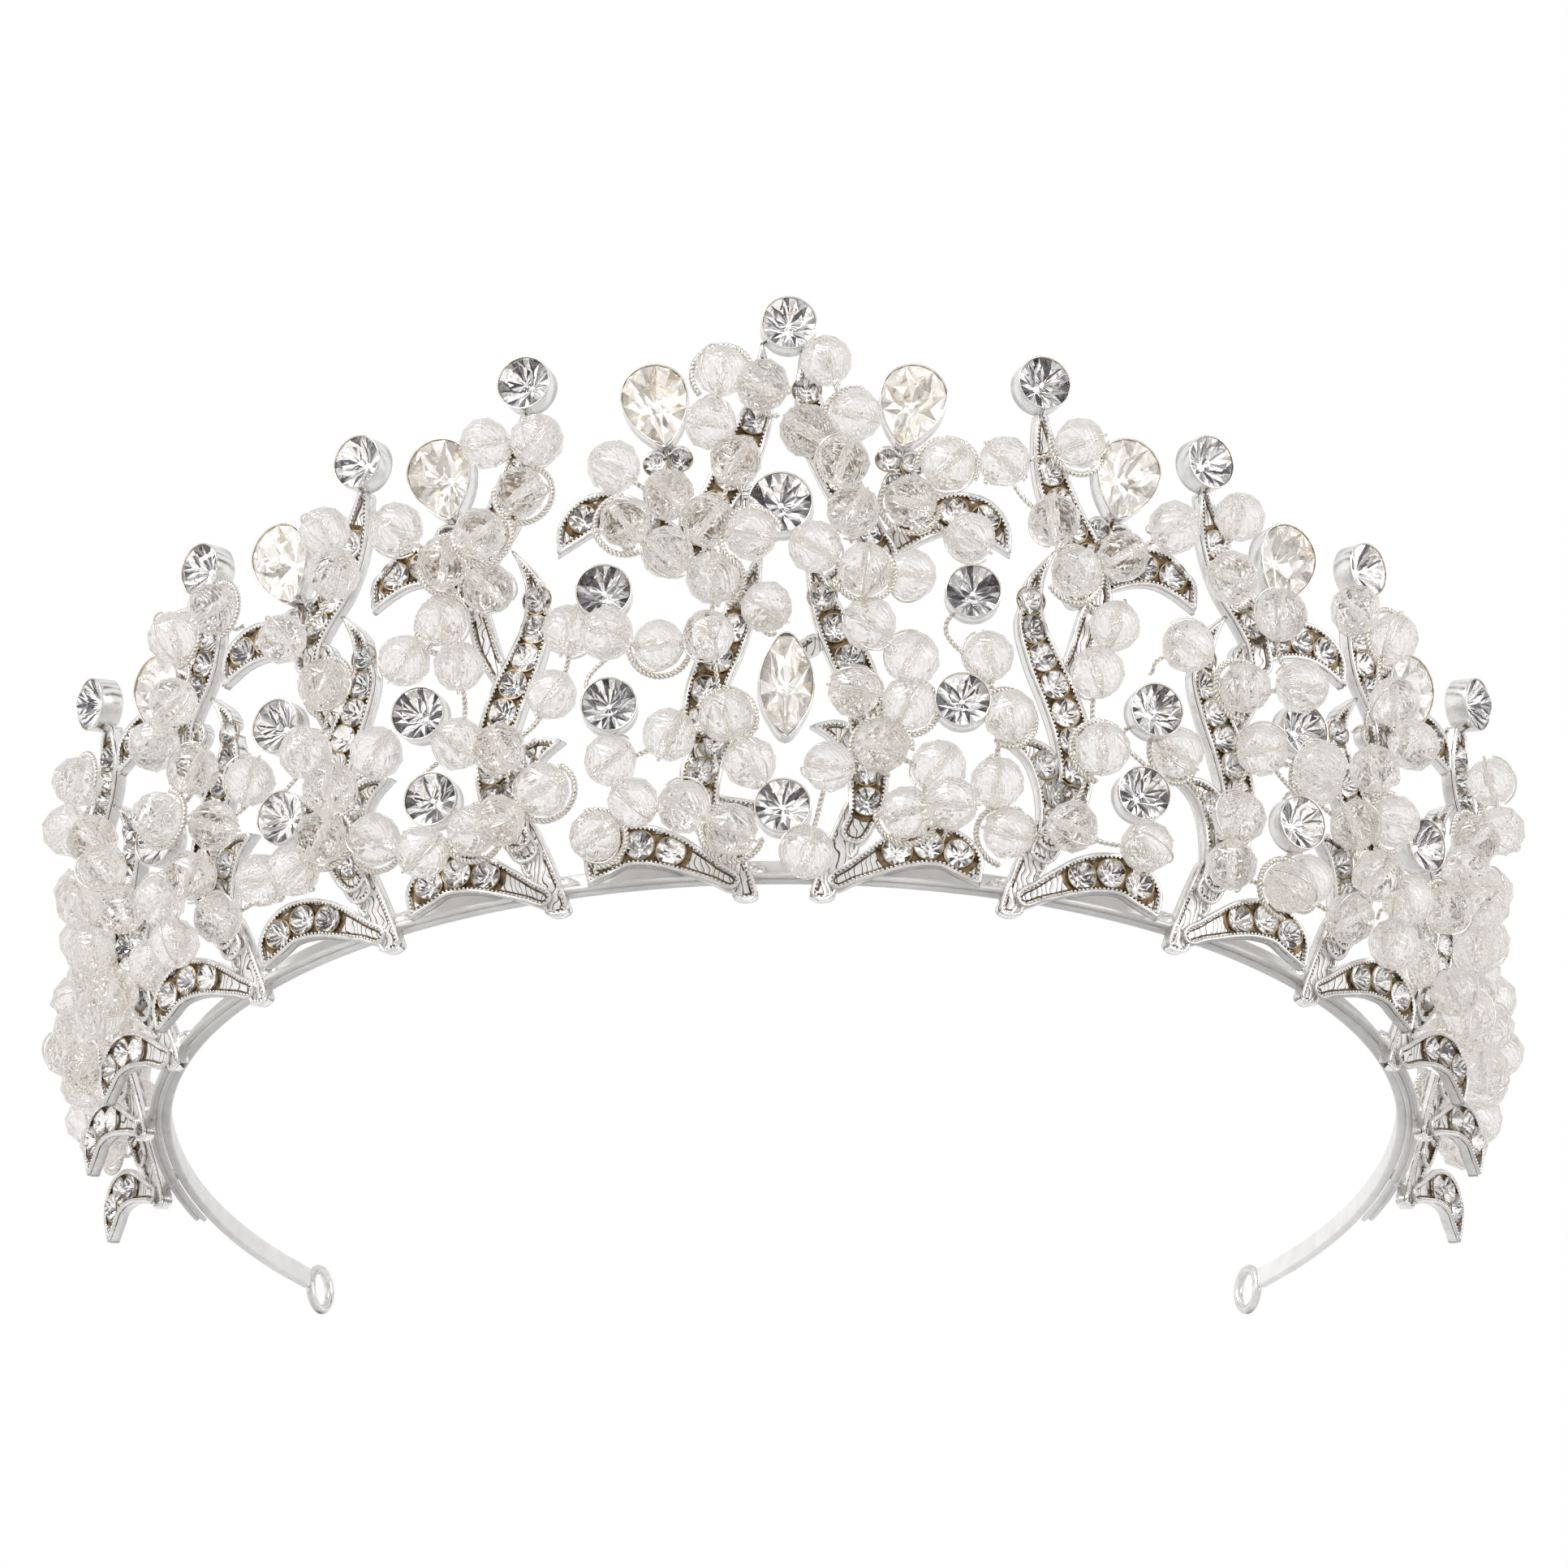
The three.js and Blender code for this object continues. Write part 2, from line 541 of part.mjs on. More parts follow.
// The stones that a unit holds in its cups: name, outline, form, place and turn.
function cupStones(side, unit, place) {
  const label = `${side > 0 ? "right" : "left"}_${unit}`;
  const chaton = circle(CHATON.radius, CUP_SIDES);
  const stones = [];
  if (unit > 0 && unit < TALL_UNITS) {
    const at = place(SPIKE_OUT[unit], SPIKE_TOP);
    stones.push({ name: `spike_stone_${label}`, outline: chaton, form: CHATON, at, turn: 0 });
  }
  if (unit < TALL_UNITS - 1) {
    const at = place(...TEARS[unit]);
    const outline = pear(TEAR, TEAR_SIDES);
    stones.push({ name: `teardrop_${label}`, outline, form: TEAR, at, turn: -side * TEAR_TURN });
  }
  if (unit === 0 && side > 0) {
    const top = place(-FIRST_FOOT, SPIKE_TOP);
    const middle = place(-FIRST_FOOT, NAVETTE_HEIGHT);
    const oval = pointedOval(NAVETTE, TEAR_SIDES);
    stones.push({ name: "spike_stone_centre", outline: chaton, form: CHATON, at: top, turn: 0 });
    stones.push({ name: "navette_centre", outline: oval, form: NAVETTE, at: middle, turn: 0 });
  }
  if (unit === 0 && side < 0) {
    const upper = place(-FIRST_FOOT, CENTRE_HEIGHT);
    const lower = place(-FIRST_FOOT, BASE_HEIGHT);
    const large = circle(CENTRE_CHATON.radius, CUP_SIDES);
    const form = CENTRE_CHATON;
    stones.push({ name: "round_stone_centre", outline: large, form, at: upper, turn: 0 });
    stones.push({ name: "round_stone_base", outline: chaton, form: CHATON, at: lower, turn: 0 });
  }
  return stones;
}

add(stand, "headband", headband(), silver);
stand.add(endLoop(1), endLoop(-1));

for (const side of [1, -1]) {
  const sideName = side > 0 ? "right" : "left";
  for (let unit = 0; unit < UNITS; unit++) {
    const label = `${sideName}_${unit}`;
    const face = unitFrame(side, unit);
    const lean = unit === TALL_UNITS - 1 ? LAST_TALL_LEAN : 0;
    const place = (x, y) => {
      const height = y > SHRINK_FROM ? SHRINK_FROM + (y - SHRINK_FROM) * (1 - SHRINK_STEP * unit) : y;
      return new THREE.Vector2(side * (x + (lean * y) / SPIKE_TOP), height);
    };
    const casting = unitCasting(side, unit, place);
    add(face, `spray_${label}`, geometryOf(casting), silver);

    const taken = [];
    if (unit > 0 && unit < TALL_UNITS) {
      for (const [x, y] of HOOK_PLACES) {
        const hook = place(x, y);
        taken.push({ at: new THREE.Vector3(hook.x, hook.y, HOOK_LEVEL), room: CUP_ROOM });
      }
    }
    for (const { name, outline, form, at, turn } of cupStones(side, unit, place)) {
      const stone = add(face, name, cutStone(outline, form), foiled);
      stone.position.set(at.x, at.y, 0);
      stone.rotation.z = turn;
      taken.push({ at: new THREE.Vector3(at.x, at.y, CUP_TOP + 1), room: CUP_ROOM });
    }
    const spots = WIRE_STONES[sideName][unit].map(([x, y]) => place(x, y));
    const wired = spots.length > 0 ? [wireStones(spots)] : [];
    for (const stones of wired) {
      add(face, `wire_stones_${label}`, geometryOf(stones), foiled);
    }
    for (const spot of spots) {
      const at = new THREE.Vector3(spot.x, spot.y, CUP_TOP + WIRE_STONE_LEVEL + 1);
      taken.push({ at, room: CUP_ROOM });
    }
    const levels = unit < FIRST_SIDE_UNIT ? BEAD_LEVELS : BEAD_LEVELS.slice(0, SIDE_LEVELS);
    const places = SPRIGS[sideName][unit].map(([x, y]) => place(x, y));
    const beads = settle(places, levels, taken, join([casting, ...wired]));
    add(face, `sprig_${label}`, geometryOf(sprig(beads)), crystal);
  }
}

tiara.updateMatrixWorld(true);
const box = new THREE.Box3().setFromObject(tiara, true);
stand.position.y = -(box.min.y + box.max.y) / 2;

export default tiara;
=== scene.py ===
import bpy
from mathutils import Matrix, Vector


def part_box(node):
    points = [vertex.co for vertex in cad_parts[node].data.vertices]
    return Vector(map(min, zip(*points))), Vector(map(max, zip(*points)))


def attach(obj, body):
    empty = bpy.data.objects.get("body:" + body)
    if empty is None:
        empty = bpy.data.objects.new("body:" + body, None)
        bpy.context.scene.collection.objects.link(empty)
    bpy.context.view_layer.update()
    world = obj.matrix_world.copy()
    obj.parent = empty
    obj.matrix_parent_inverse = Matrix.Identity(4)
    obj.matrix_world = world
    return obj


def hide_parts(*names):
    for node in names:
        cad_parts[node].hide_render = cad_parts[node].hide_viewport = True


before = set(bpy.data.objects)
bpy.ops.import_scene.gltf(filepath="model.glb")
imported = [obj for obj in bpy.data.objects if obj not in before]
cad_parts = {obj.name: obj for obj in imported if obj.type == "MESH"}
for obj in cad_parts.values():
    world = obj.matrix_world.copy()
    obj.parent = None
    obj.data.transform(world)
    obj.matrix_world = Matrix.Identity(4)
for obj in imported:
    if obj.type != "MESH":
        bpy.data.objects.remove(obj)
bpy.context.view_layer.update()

import math

import bpy
import numpy as np
from mathutils import Vector
from mathutils.geometry import delaunay_2d_cdt

MM = 0.001
BODY = "root"
rng = np.random.default_rng(7)

# Sizes that the CAD model states, which are how its features are told apart in its meshes.
BEAD_RADIUS = 3.0
PLATE = 1.4  # thickness of a casting's stems; the faces of its leaves stand prouder
CUP_HEIGHT = 2.6  # of a cup's top above the back of its casting
SMALL_STONE = (1.6, 0.8)  # radius of a leaf's stone, and its height above its leaf
TREFOIL = (1.35, 0.675)  # the same for the three stones below a pear-shaped one

CUP_DEPTH = 2.9  # of a cup on a casting, below the edge of its stone
WIRE_CUP_DEPTH = 2.6
CUP_WALL, CUP_LIP = 0.2, 0.14
CROWN_SHARE = 0.72  # of a cup stone's height above its edge, up to its table
PAVILION_SHARE = 0.75  # of its radius, for its depth
COLLAR = 0.06  # a small stone spreads under its collar by this
SHADE_MARGIN = 0.8  # how far from a small stone the floor round it has painted shade

FLAT = 0.999  # cosine within which a face counts as facing straight forward
CORNER = math.radians(100)  # an outline turning by more than this is a real corner

# The edge of a leaf, in from its outline: a rounded rim, a row of milgrain, then a groove coloured
# with painted shade.
FLOOR_DROP = 0.3  # from the face of a leaf down to the floor between its stones
RIM_INSET, RIM_RADIUS = 0.2, 0.25
GRAIN_INSET, GRAIN_RADIUS, GRAIN_STEP = 0.46, 0.2, 0.5
GROOVE_INSET, GROOVE_RADIUS = 0.76, 0.12

# Radius and pitch of each kind of twisted wire.
STONE_WIRE = (0.28, 1.1)
STEM_WIRE = (0.3, 1.2)
CURL_WIRE = (0.24, 1.0)
ROPE_WIRE = (0.36, 1.0)

# The camera: its rise in radians, distances in metres, and its lens in millimetres.
VIEW_RISE = math.radians(26)
EYE_DISTANCE = 0.9
EYE_LIFT = 0.012
LENS = 184.5


# --- Camera, floor and light -----------------------------------------------------------------


def camera():
    """The camera looks up at the front of the band from below its plane."""
    low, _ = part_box("headband")
    front = Vector((0, low.y + 0.6 * MM, low.z - 1.0 * MM))
    forward = Vector((0, math.cos(VIEW_RISE), math.sin(VIEW_RISE)))
    up = Vector((0, -math.sin(VIEW_RISE), math.cos(VIEW_RISE)))
    data = bpy.data.cameras.new("camera")
    data.sensor_width = 36
    data.lens = LENS
    data.clip_start = 0.01
    data.clip_end = 20
    eye = bpy.data.objects.new("camera", data)
    eye.location = front - EYE_DISTANCE * forward + EYE_LIFT * up
    eye.rotation_euler = (math.radians(90) + VIEW_RISE, 0, 0)
    bpy.context.scene.collection.objects.link(eye)
    bpy.context.scene.camera = eye


def node_tree(name):
    """A new material, with no nodes in it yet."""
    material = bpy.data.materials.new(name)
    material.use_nodes = True
    material.node_tree.nodes.clear()
    return material, material.node_tree


def node(tree, kind, **values):
    """A shader node with values on its inputs. An underscore stands for a space in their names."""
    made = tree.nodes.new("ShaderNode" + kind)
    for socket, value in values.items():
        made.inputs[socket.replace("_", " ")].default_value = value
    return made


def ramp(tree, low, high):
    """A colour ramp between two stops, each a position and a colour."""
    made = node(tree, "ValToRGB")
    for stop, (position, colour) in zip(made.color_ramp.elements, (low, high)):
        stop.position = position
        stop.color = (*colour, 1)
    return made


def floor():
    """A pale floor under the tiara, which is clear from below."""
    material, tree = node_tree("floor")
    link = tree.links.new
    noise = node(tree, "TexNoise", Scale=30)
    tint = ramp(tree, (0, (0.78, 0.78, 0.78)), (1, (0.84, 0.84, 0.84)))
    diffuse = node(tree, "BsdfDiffuse")
    clear = node(tree, "BsdfTransparent")
    side = node(tree, "NewGeometry")
    mix = node(tree, "MixShader")
    out = node(tree, "OutputMaterial")
    link(noise.outputs["Fac"], tint.inputs["Fac"])
    link(tint.outputs["Color"], diffuse.inputs["Color"])
    link(side.outputs["Backfacing"], mix.inputs["Fac"])
    link(diffuse.outputs[0], mix.inputs[1])
    link(clear.outputs[0], mix.inputs[2])
    link(mix.outputs[0], out.inputs["Surface"])
    half = 3.0
    corners = [(-half, -half, 0), (half, -half, 0), (half, half, 0), (-half, half, 0)]
    mesh = bpy.data.meshes.new("floor")
    mesh.from_pydata(corners, [], [(0, 1, 2, 3)])
    mesh.materials.append(material)
    plane = bpy.data.objects.new("floor", mesh)
    bpy.context.scene.collection.objects.link(plane)


def studio():
    """A white tent with darker strips in it, which give the stones and the silver their contrast."""
    world = bpy.data.worlds.new("studio")
    world.use_nodes = True
    bpy.context.scene.world = world
    tree = world.node_tree
    tree.nodes.clear()
    link = tree.links.new
    place = node(tree, "TexCoord")
    strips = node(tree, "TexWave", Scale=1.15, Distortion=3.0, Detail=1.0, Detail_Scale=1.2)
    contrast = ramp(tree, (0.10, (0.13, 0.128, 0.13)), (0.42, (1.0, 0.995, 0.985)))
    # Towards the back everything is nearly white, so that clear glass stays light.
    apart = node(tree, "SeparateXYZ")
    behind = node(tree, "MapRange", From_Min=0.15, From_Max=0.75)
    tent = node(tree, "Mix")
    tent.data_type = "RGBA"
    tent.inputs["B"].default_value = (0.94, 0.937, 0.933, 1)
    lit = node(tree, "Background", Strength=1.0)
    seen = node(tree, "Background", Color=(1, 1, 1, 1), Strength=1.0)
    path = node(tree, "LightPath")
    mix = node(tree, "MixShader")
    out = node(tree, "OutputWorld")
    link(place.outputs["Generated"], strips.inputs["Vector"])
    link(strips.outputs["Fac"], contrast.inputs["Fac"])
    link(place.outputs["Generated"], apart.inputs[0])
    link(apart.outputs["Y"], behind.inputs["Value"])
    link(behind.outputs["Result"], tent.inputs["Factor"])
    link(contrast.outputs["Color"], tent.inputs["A"])
    link(tent.outputs["Result"], lit.inputs["Color"])
    link(path.outputs["Is Camera Ray"], mix.inputs["Fac"])
    link(lit.outputs[0], mix.inputs[1])
    link(seen.outputs[0], mix.inputs[2])
    link(mix.outputs[0], out.inputs["Surface"])


def softbox(name, place, target, size, power):
    data = bpy.data.lights.new(name, "AREA")
    data.shape = "RECTANGLE"
    data.size = size[0]
    data.size_y = size[1]
    data.energy = power
    box = bpy.data.objects.new(name, data)
    box.location = place
    box.rotation_euler = (Vector(target) - Vector(place)).to_track_quat("-Z", "Y").to_euler()
    bpy.context.scene.collection.objects.link(box)


def lights():
    centre = (0, 0, 0.03)
    softbox("key", (-0.5, -0.7, 0.6), centre, (0.35, 0.35), 5)
    softbox("fill", (0.7, -0.5, 0.1), centre, (0.3, 0.5), 2)
    softbox("low", (0.1, -0.6, -0.5), centre, (0.4, 0.2), 3)
    scene = bpy.context.scene
    scene.view_settings.view_transform = "Standard"
    scene.cycles.max_bounces = 16
    scene.cycles.transmission_bounces = 16
    scene.cycles.glossy_bounces = 8
    scene.cycles.transparent_max_bounces = 16


# --- Materials -------------------------------------------------------------------------------


def principled(name, scale, colours, roughness, bump=0.0, **sockets):
    """A surface whose colour and roughness vary between two values with noise."""
    material, tree = node_tree(name)
    link = tree.links.new
    place = node(tree, "TexCoord")
    noise = node(tree, "TexNoise", Scale=scale, Detail=4)
    colour = ramp(tree, (0.35, colours[0]), (0.65, colours[1]))
    low, high = roughness
    shine = node(tree, "MapRange", From_Min=0.3, From_Max=0.7, To_Min=low, To_Max=high)
    shader = node(tree, "BsdfPrincipled", **sockets)
    out = node(tree, "OutputMaterial")
    link(place.outputs["Object"], noise.inputs["Vector"])
    link(noise.outputs["Fac"], colour.inputs["Fac"])
    link(colour.outputs["Color"], shader.inputs["Base Color"])
    link(noise.outputs["Fac"], shine.inputs["Value"])
    link(shine.outputs["Result"], shader.inputs["Roughness"])
    link(shader.outputs[0], out.inputs["Surface"])
    if bump > 0:
        relief = node(tree, "Bump", Strength=bump, Distance=0.1 * MM)
        link(noise.outputs["Fac"], relief.inputs["Height"])
        link(relief.outputs["Normal"], shader.inputs["Normal"])
    return material


def silver():
    """Bright silver plate, with slight waves from casting and polishing."""
    colours = ((0.8, 0.785, 0.77), (0.95, 0.94, 0.93))
    return principled("silver", 900, colours, (0.14, 0.3), 0.3, Metallic=1.0)


def satin():
    """The drawn strip of the headband, softer than the castings."""
    colours = ((0.88, 0.87, 0.86), (0.96, 0.955, 0.95))
    return principled("satin", 400, colours, (0.38, 0.5), 0.15, Metallic=0.35)


def painted_shade():
    """Painted shade on the floors round the stones and in the grooves along the rims, dark brown to
    antique gold.
    """
    colours = ((0.06, 0.038, 0.02), (0.36, 0.25, 0.14))
    return principled("painted_shade", 1400, colours, (0.3, 0.55), 0.6, Metallic=0.85)


def engraved_with_painted_shade():
    """Silver floors with curling cuts in them; the cuts are painted dark as shade, like the painted
    shade on the floors between the stones.
    """
    material, tree = node_tree("engraved_with_painted_shade")
    link = tree.links.new
    place = node(tree, "TexCoord")
    curls = node(tree, "TexWave", Scale=480, Distortion=9, Detail=0.6, Detail_Scale=1.1)
    # The dark end of the ramp is painted shade in the cuts.
    cut = ramp(tree, (0.02, (0.12, 0.09, 0.06)), (0.09, (0.97, 0.96, 0.95)))
    relief = node(tree, "Bump", Strength=0.4, Distance=0.1 * MM)
    shader = node(tree, "BsdfPrincipled", Metallic=0.7, Roughness=0.3)
    out = node(tree, "OutputMaterial")
    link(place.outputs["Object"], curls.inputs["Vector"])
    link(curls.outputs["Fac"], cut.inputs["Fac"])
    link(curls.outputs["Fac"], relief.inputs["Height"])
    link(cut.outputs["Color"], shader.inputs["Base Color"])
    link(relief.outputs["Normal"], shader.inputs["Normal"])
    link(shader.outputs[0], out.inputs["Surface"])
    return material


def dark_warm_gold():
    """Inside a cup's lip and in the collars round the small stones: a darker, warm gold."""
    colours = ((0.3, 0.22, 0.12), (0.62, 0.5, 0.34))
    return principled("dark_warm_gold", 1100, colours, (0.25, 0.4), 0.3, Metallic=1.0)


def wire_metal():
    colours = ((0.8, 0.76, 0.7), (0.94, 0.91, 0.87))
    return principled("wire", 2000, colours, (0.16, 0.3), 0.2, Metallic=1.0)


def glass(name, colours, ior, glow=0.0):
    """Clear glass. A little glow stands for the light that the many facets scatter."""
    return principled(
        name, 500, colours, (0.0, 0.02), 0.0, Transmission_Weight=1.0, IOR=ior,
        Emission_Color=(1.0, 0.97, 0.94, 1.0), Emission_Strength=glow,
    )


def bead_glass():
    """Clear glass crossed by fine pale streaks of painted glint, which glow though the beads are no
    lamp;
    they turn from one patch of a bead to the next and stand for the light off its many narrow
    facets."""
    material = glass("bead_glass", ((0.95, 0.94, 0.93), (0.985, 0.98, 0.972)), 1.5, 0.012)
    tree = material.node_tree
    link = tree.links.new
    found = {made.type: made for made in tree.nodes}
    clear = found["BSDF_PRINCIPLED"]
    place = found["TEX_COORD"].outputs["Object"]
    patches = node(tree, "TexVoronoi", Scale=280)
    angle = node(tree, "MapRange", To_Min=-0.4, To_Max=1.2)
    turned = node(tree, "VectorRotate", Axis=(0.2, 1.0, 0.1))
    glint_streaks = node(tree, "TexWave", Scale=740, Distortion=1.6, Detail=2.0, Detail_Scale=0.6)
    glint_streaks.bands_direction = "DIAGONAL"
    glint_share = node(tree, "MapRange", From_Min=0.4, From_Max=0.9, To_Min=0.03, To_Max=0.34)
    relief = node(tree, "Bump", Strength=0.3, Distance=0.1 * MM)
    # The streaks glow: painted glints in place of light off the facets.
    painted_glint = node(tree, "Emission", Color=(0.69, 0.64, 0.595, 1))
    mix = node(tree, "MixShader")
    link(place, patches.inputs["Vector"])
    link(place, turned.inputs["Vector"])
    link(patches.outputs["Color"], angle.inputs["Value"])
    link(angle.outputs["Result"], turned.inputs["Angle"])
    link(turned.outputs["Vector"], glint_streaks.inputs["Vector"])
    link(glint_streaks.outputs["Fac"], glint_share.inputs["Value"])
    link(glint_streaks.outputs["Fac"], relief.inputs["Height"])
    link(relief.outputs["Normal"], clear.inputs["Normal"])
    link(glint_share.outputs["Result"], mix.inputs["Fac"])
    link(clear.outputs[0], mix.inputs[1])
    link(painted_glint.outputs[0], mix.inputs[2])
    link(mix.outputs[0], found["OUTPUT_MATERIAL"].inputs["Surface"])
    return material


def foil(name, colours, glow=0.0):
    """The mirror behind a stone. Its glow stands for light thrown back between the facets."""
    return principled(
        name, 700, colours, (0.03, 0.12), 0.0, Metallic=0.9,
        Emission_Color=(1.0, 0.985, 0.97, 1.0), Emission_Strength=glow,
    )


MATERIALS = {
    "silver": silver(),
    "satin": satin(),
    "painted_shade": painted_shade(),
    "engraved_with_painted_shade": engraved_with_painted_shade(),
    "dark_warm_gold": dark_warm_gold(),
    "wire": wire_metal(),
    "crown": glass("crown_glass", ((0.97, 0.965, 0.96), (1, 1, 1)), 1.58),
    "foil": foil("foil", ((0.92, 0.92, 0.92), (0.99, 0.99, 0.99)), 0.3),
    # The grey and dark foils are shaded copies of the one foil: painted half shade and painted shade
    # on the facets.
    "foil_painted_half_shade": foil("foil_painted_half_shade", ((0.45, 0.44, 0.44), (0.62, 0.61, 0.61)), 0.06),
    "foil_painted_shade": foil("foil_painted_shade", ((0.08, 0.075, 0.09), (0.24, 0.23, 0.25))),
    "warm_crown": glass("warm_crown_glass", ((0.99, 0.98, 0.965), (1, 0.995, 0.985)), 1.5),
    # The warm foil is the stone's own warm tone; its grey copy is painted half shade and its gold
    # copy a painted glint.
    "warm_foil": foil("warm_foil", ((0.93, 0.91, 0.88), (0.97, 0.955, 0.94)), 0.2),
    "warm_foil_painted_half_shade": foil("warm_foil_painted_half_shade", ((0.58, 0.56, 0.53), (0.74, 0.72, 0.69)), 0.08),
    "warm_foil_painted_glint": foil("warm_foil_painted_glint", ((0.76, 0.68, 0.56), (0.88, 0.82, 0.72)), 0.08),
    "bead": bead_glass(),
}
CLEAR_FOILS = ("foil", "foil_painted_half_shade", "foil_painted_shade")
WARM_FOILS = ("warm_foil", "warm_foil_painted_half_shade", "warm_foil_painted_glint")
CHATON_MIX = (0.48, 0.22, 0.3)  # shares of a round stone's facets with the bright foil, the painted half shade and the painted shade
SMALL_MIX = (0.54, 0.22, 0.24)
# A pear's shares: its warm foil, painted half shade and a painted glint.
PEAR_MIX = (0.6, 0.3, 0.1)


# --- Mesh building ---------------------------------------------------------------------------


class Build:
    """One piece's mesh, put together from chunks of points and faces."""

    def __init__(self, *materials):
        self.materials = materials
        self.points = []
        self.faces = []
        self.count = 0

    def add(self, points, faces, material, smooth=True):
        """Faces are rows of an array, all with the same number of corners."""
        points = np.asarray(points, float).reshape(-1, 3)
        faces = np.asarray(faces, int)
        self.points.append(points)
        self.faces.append((faces + self.count, self.materials.index(material), smooth))
        self.count += len(points)

    def finish(self, name, place, cad_node):
        """Makes the object, with its points carried by `place` from millimetres to the row."""
        mesh = bpy.data.meshes.new(name)
        points = place(np.concatenate(self.points)) * MM
        corners = np.concatenate([faces.ravel() for faces, _, _ in self.faces])
        sizes = np.concatenate([np.full(len(f), f.shape[1]) for f, _, _ in self.faces])
        kinds = np.concatenate([np.full(len(f), kind) for f, kind, _ in self.faces])
        smooth = np.concatenate([np.full(len(f), soft) for f, _, soft in self.faces])
        mesh.vertices.add(len(points))
        mesh.vertices.foreach_set("co", points.ravel())
        mesh.loops.add(len(corners))
        mesh.loops.foreach_set("vertex_index", corners.astype(np.int32))
        mesh.polygons.add(len(sizes))
        starts = np.concatenate([[0], np.cumsum(sizes)[:-1]]).astype(np.int32)
        mesh.polygons.foreach_set("loop_start", starts)
        mesh.polygons.foreach_set("material_index", kinds.astype(np.int32))
        mesh.polygons.foreach_set("use_smooth", smooth.astype(bool))
        for material in self.materials:
            mesh.materials.append(MATERIALS[material])
        mesh.update(calc_edges=True)
        mesh.validate()
        piece = bpy.data.objects.new(name, mesh)
        bpy.context.scene.collection.objects.link(piece)
        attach(piece, BODY)
        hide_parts(cad_node)


def ring_faces(rows, count, closed=False):
    """Quads between `rows` rings of `count` points, one after another."""
    row = np.arange(rows if closed else rows - 1)[:, None]
    column = np.arange(count)[None, :]
    after = (column + 1) % count
    above = (row + 1) % rows
    corners = [row * count + column, row * count + after, above * count + after,
               above * count + column]
    return np.stack([c.ravel() for c in np.broadcast_arrays(*corners)], 1)


def unit(vectors):
    return vectors / np.maximum(np.linalg.norm(vectors, axis=-1, keepdims=True), 1e-9)


def tube(build, line, radius, material, sides=6, closed=False):
    """A round tube along a line of points. `radius` is one number or one for each point."""
    line = np.asarray(line, float)
    count = len(line)
    if closed:
        ahead = np.roll(line, -1, 0) - np.roll(line, 1, 0)
    else:
        ahead = np.gradient(line, axis=0)
    ahead = unit(ahead)
    normal = np.cross(ahead[0], [0.3, 0.2, 0.93])
    normal /= max(np.linalg.norm(normal), 1e-9)
    normals = []
    for direction in ahead:
        normal = normal - direction * normal.dot(direction)
        normal = normal / max(np.linalg.norm(normal), 1e-9)
        normals.append(normal)
    normals = np.array(normals)
    across = np.cross(ahead, normals)
    turn = np.arange(sides) / sides * 2 * math.pi
    thick = np.broadcast_to(np.asarray(radius, float), (count,))[:, None, None]
    rings = line[:, None, :] + thick * (
        np.cos(turn)[None, :, None] * normals[:, None, :]
        + np.sin(turn)[None, :, None] * across[:, None, :]
    )
    build.add(rings, ring_faces(count, sides, closed), material)
    if not closed:
        ends = np.concatenate([rings[0], rings[-1]])
        caps = [list(range(sides))[::-1], list(range(sides, 2 * sides))]
        build.add(ends, caps, material, smooth=False)


def ball_shape():
    """A ball of twenty faces."""
    golden = (1 + math.sqrt(5)) / 2
    points = []
    for a in (-1, 1):
        for b in (-golden, golden):
            points += [(0, a, b), (a, b, 0), (b, 0, a)]
    points = unit(np.array(points, float))
    faces = []
    near = 1.2
    for i in range(12):
        for j in range(i + 1, 12):
            for k in range(j + 1, 12):
                sides = [points[i] - points[j], points[j] - points[k], points[k] - points[i]]
                if all(np.linalg.norm(side) < near for side in sides):
                    outward = np.cross(points[j] - points[i], points[k] - points[i])
                    facing = outward.dot(points[i]) > 0
                    faces.append((i, j, k) if facing else (i, k, j))
    return points, np.array(faces)


BALL = ball_shape()


def balls(build, centres, radius, material):
    centres = np.asarray(centres, float).reshape(-1, 3)
    if len(centres) == 0:
        return
    points, faces = BALL
    placed = centres[:, None, :] + radius * points[None]
    steps = np.arange(len(centres))[:, None, None] * len(points)
    build.add(placed, (faces[None] + steps).reshape(-1, 3), material)


# --- Reading the CAD meshes ------------------------------------------------------------------


def node_mesh(name):
    """A node's points in millimetres, welded, and its faces as triangles."""
    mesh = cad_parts[name].data
    mesh.calc_loop_triangles()
    points = np.empty(len(mesh.vertices) * 3)
    mesh.vertices.foreach_get("co", points)
    points = points.reshape(-1, 3) / MM
    faces = np.empty(len(mesh.loop_triangles) * 3, np.int32)
    mesh.loop_triangles.foreach_get("vertices", faces)
    faces = faces.reshape(-1, 3)
    keys = np.round(points / 0.004).astype(int)
    _, first, same = np.unique(keys, axis=0, return_index=True, return_inverse=True)
    faces = same.reshape(-1)[faces]
    whole = (faces[:, 0] != faces[:, 1]) & (faces[:, 1] != faces[:, 2])
    whole &= faces[:, 2] != faces[:, 0]
    return points[first], faces[whole]


def face_normals(points, faces):
    a, b, c = (points[faces[:, i]] for i in range(3))
    cross = np.cross(b - a, c - a)
    return unit(cross), np.linalg.norm(cross, axis=1) / 2


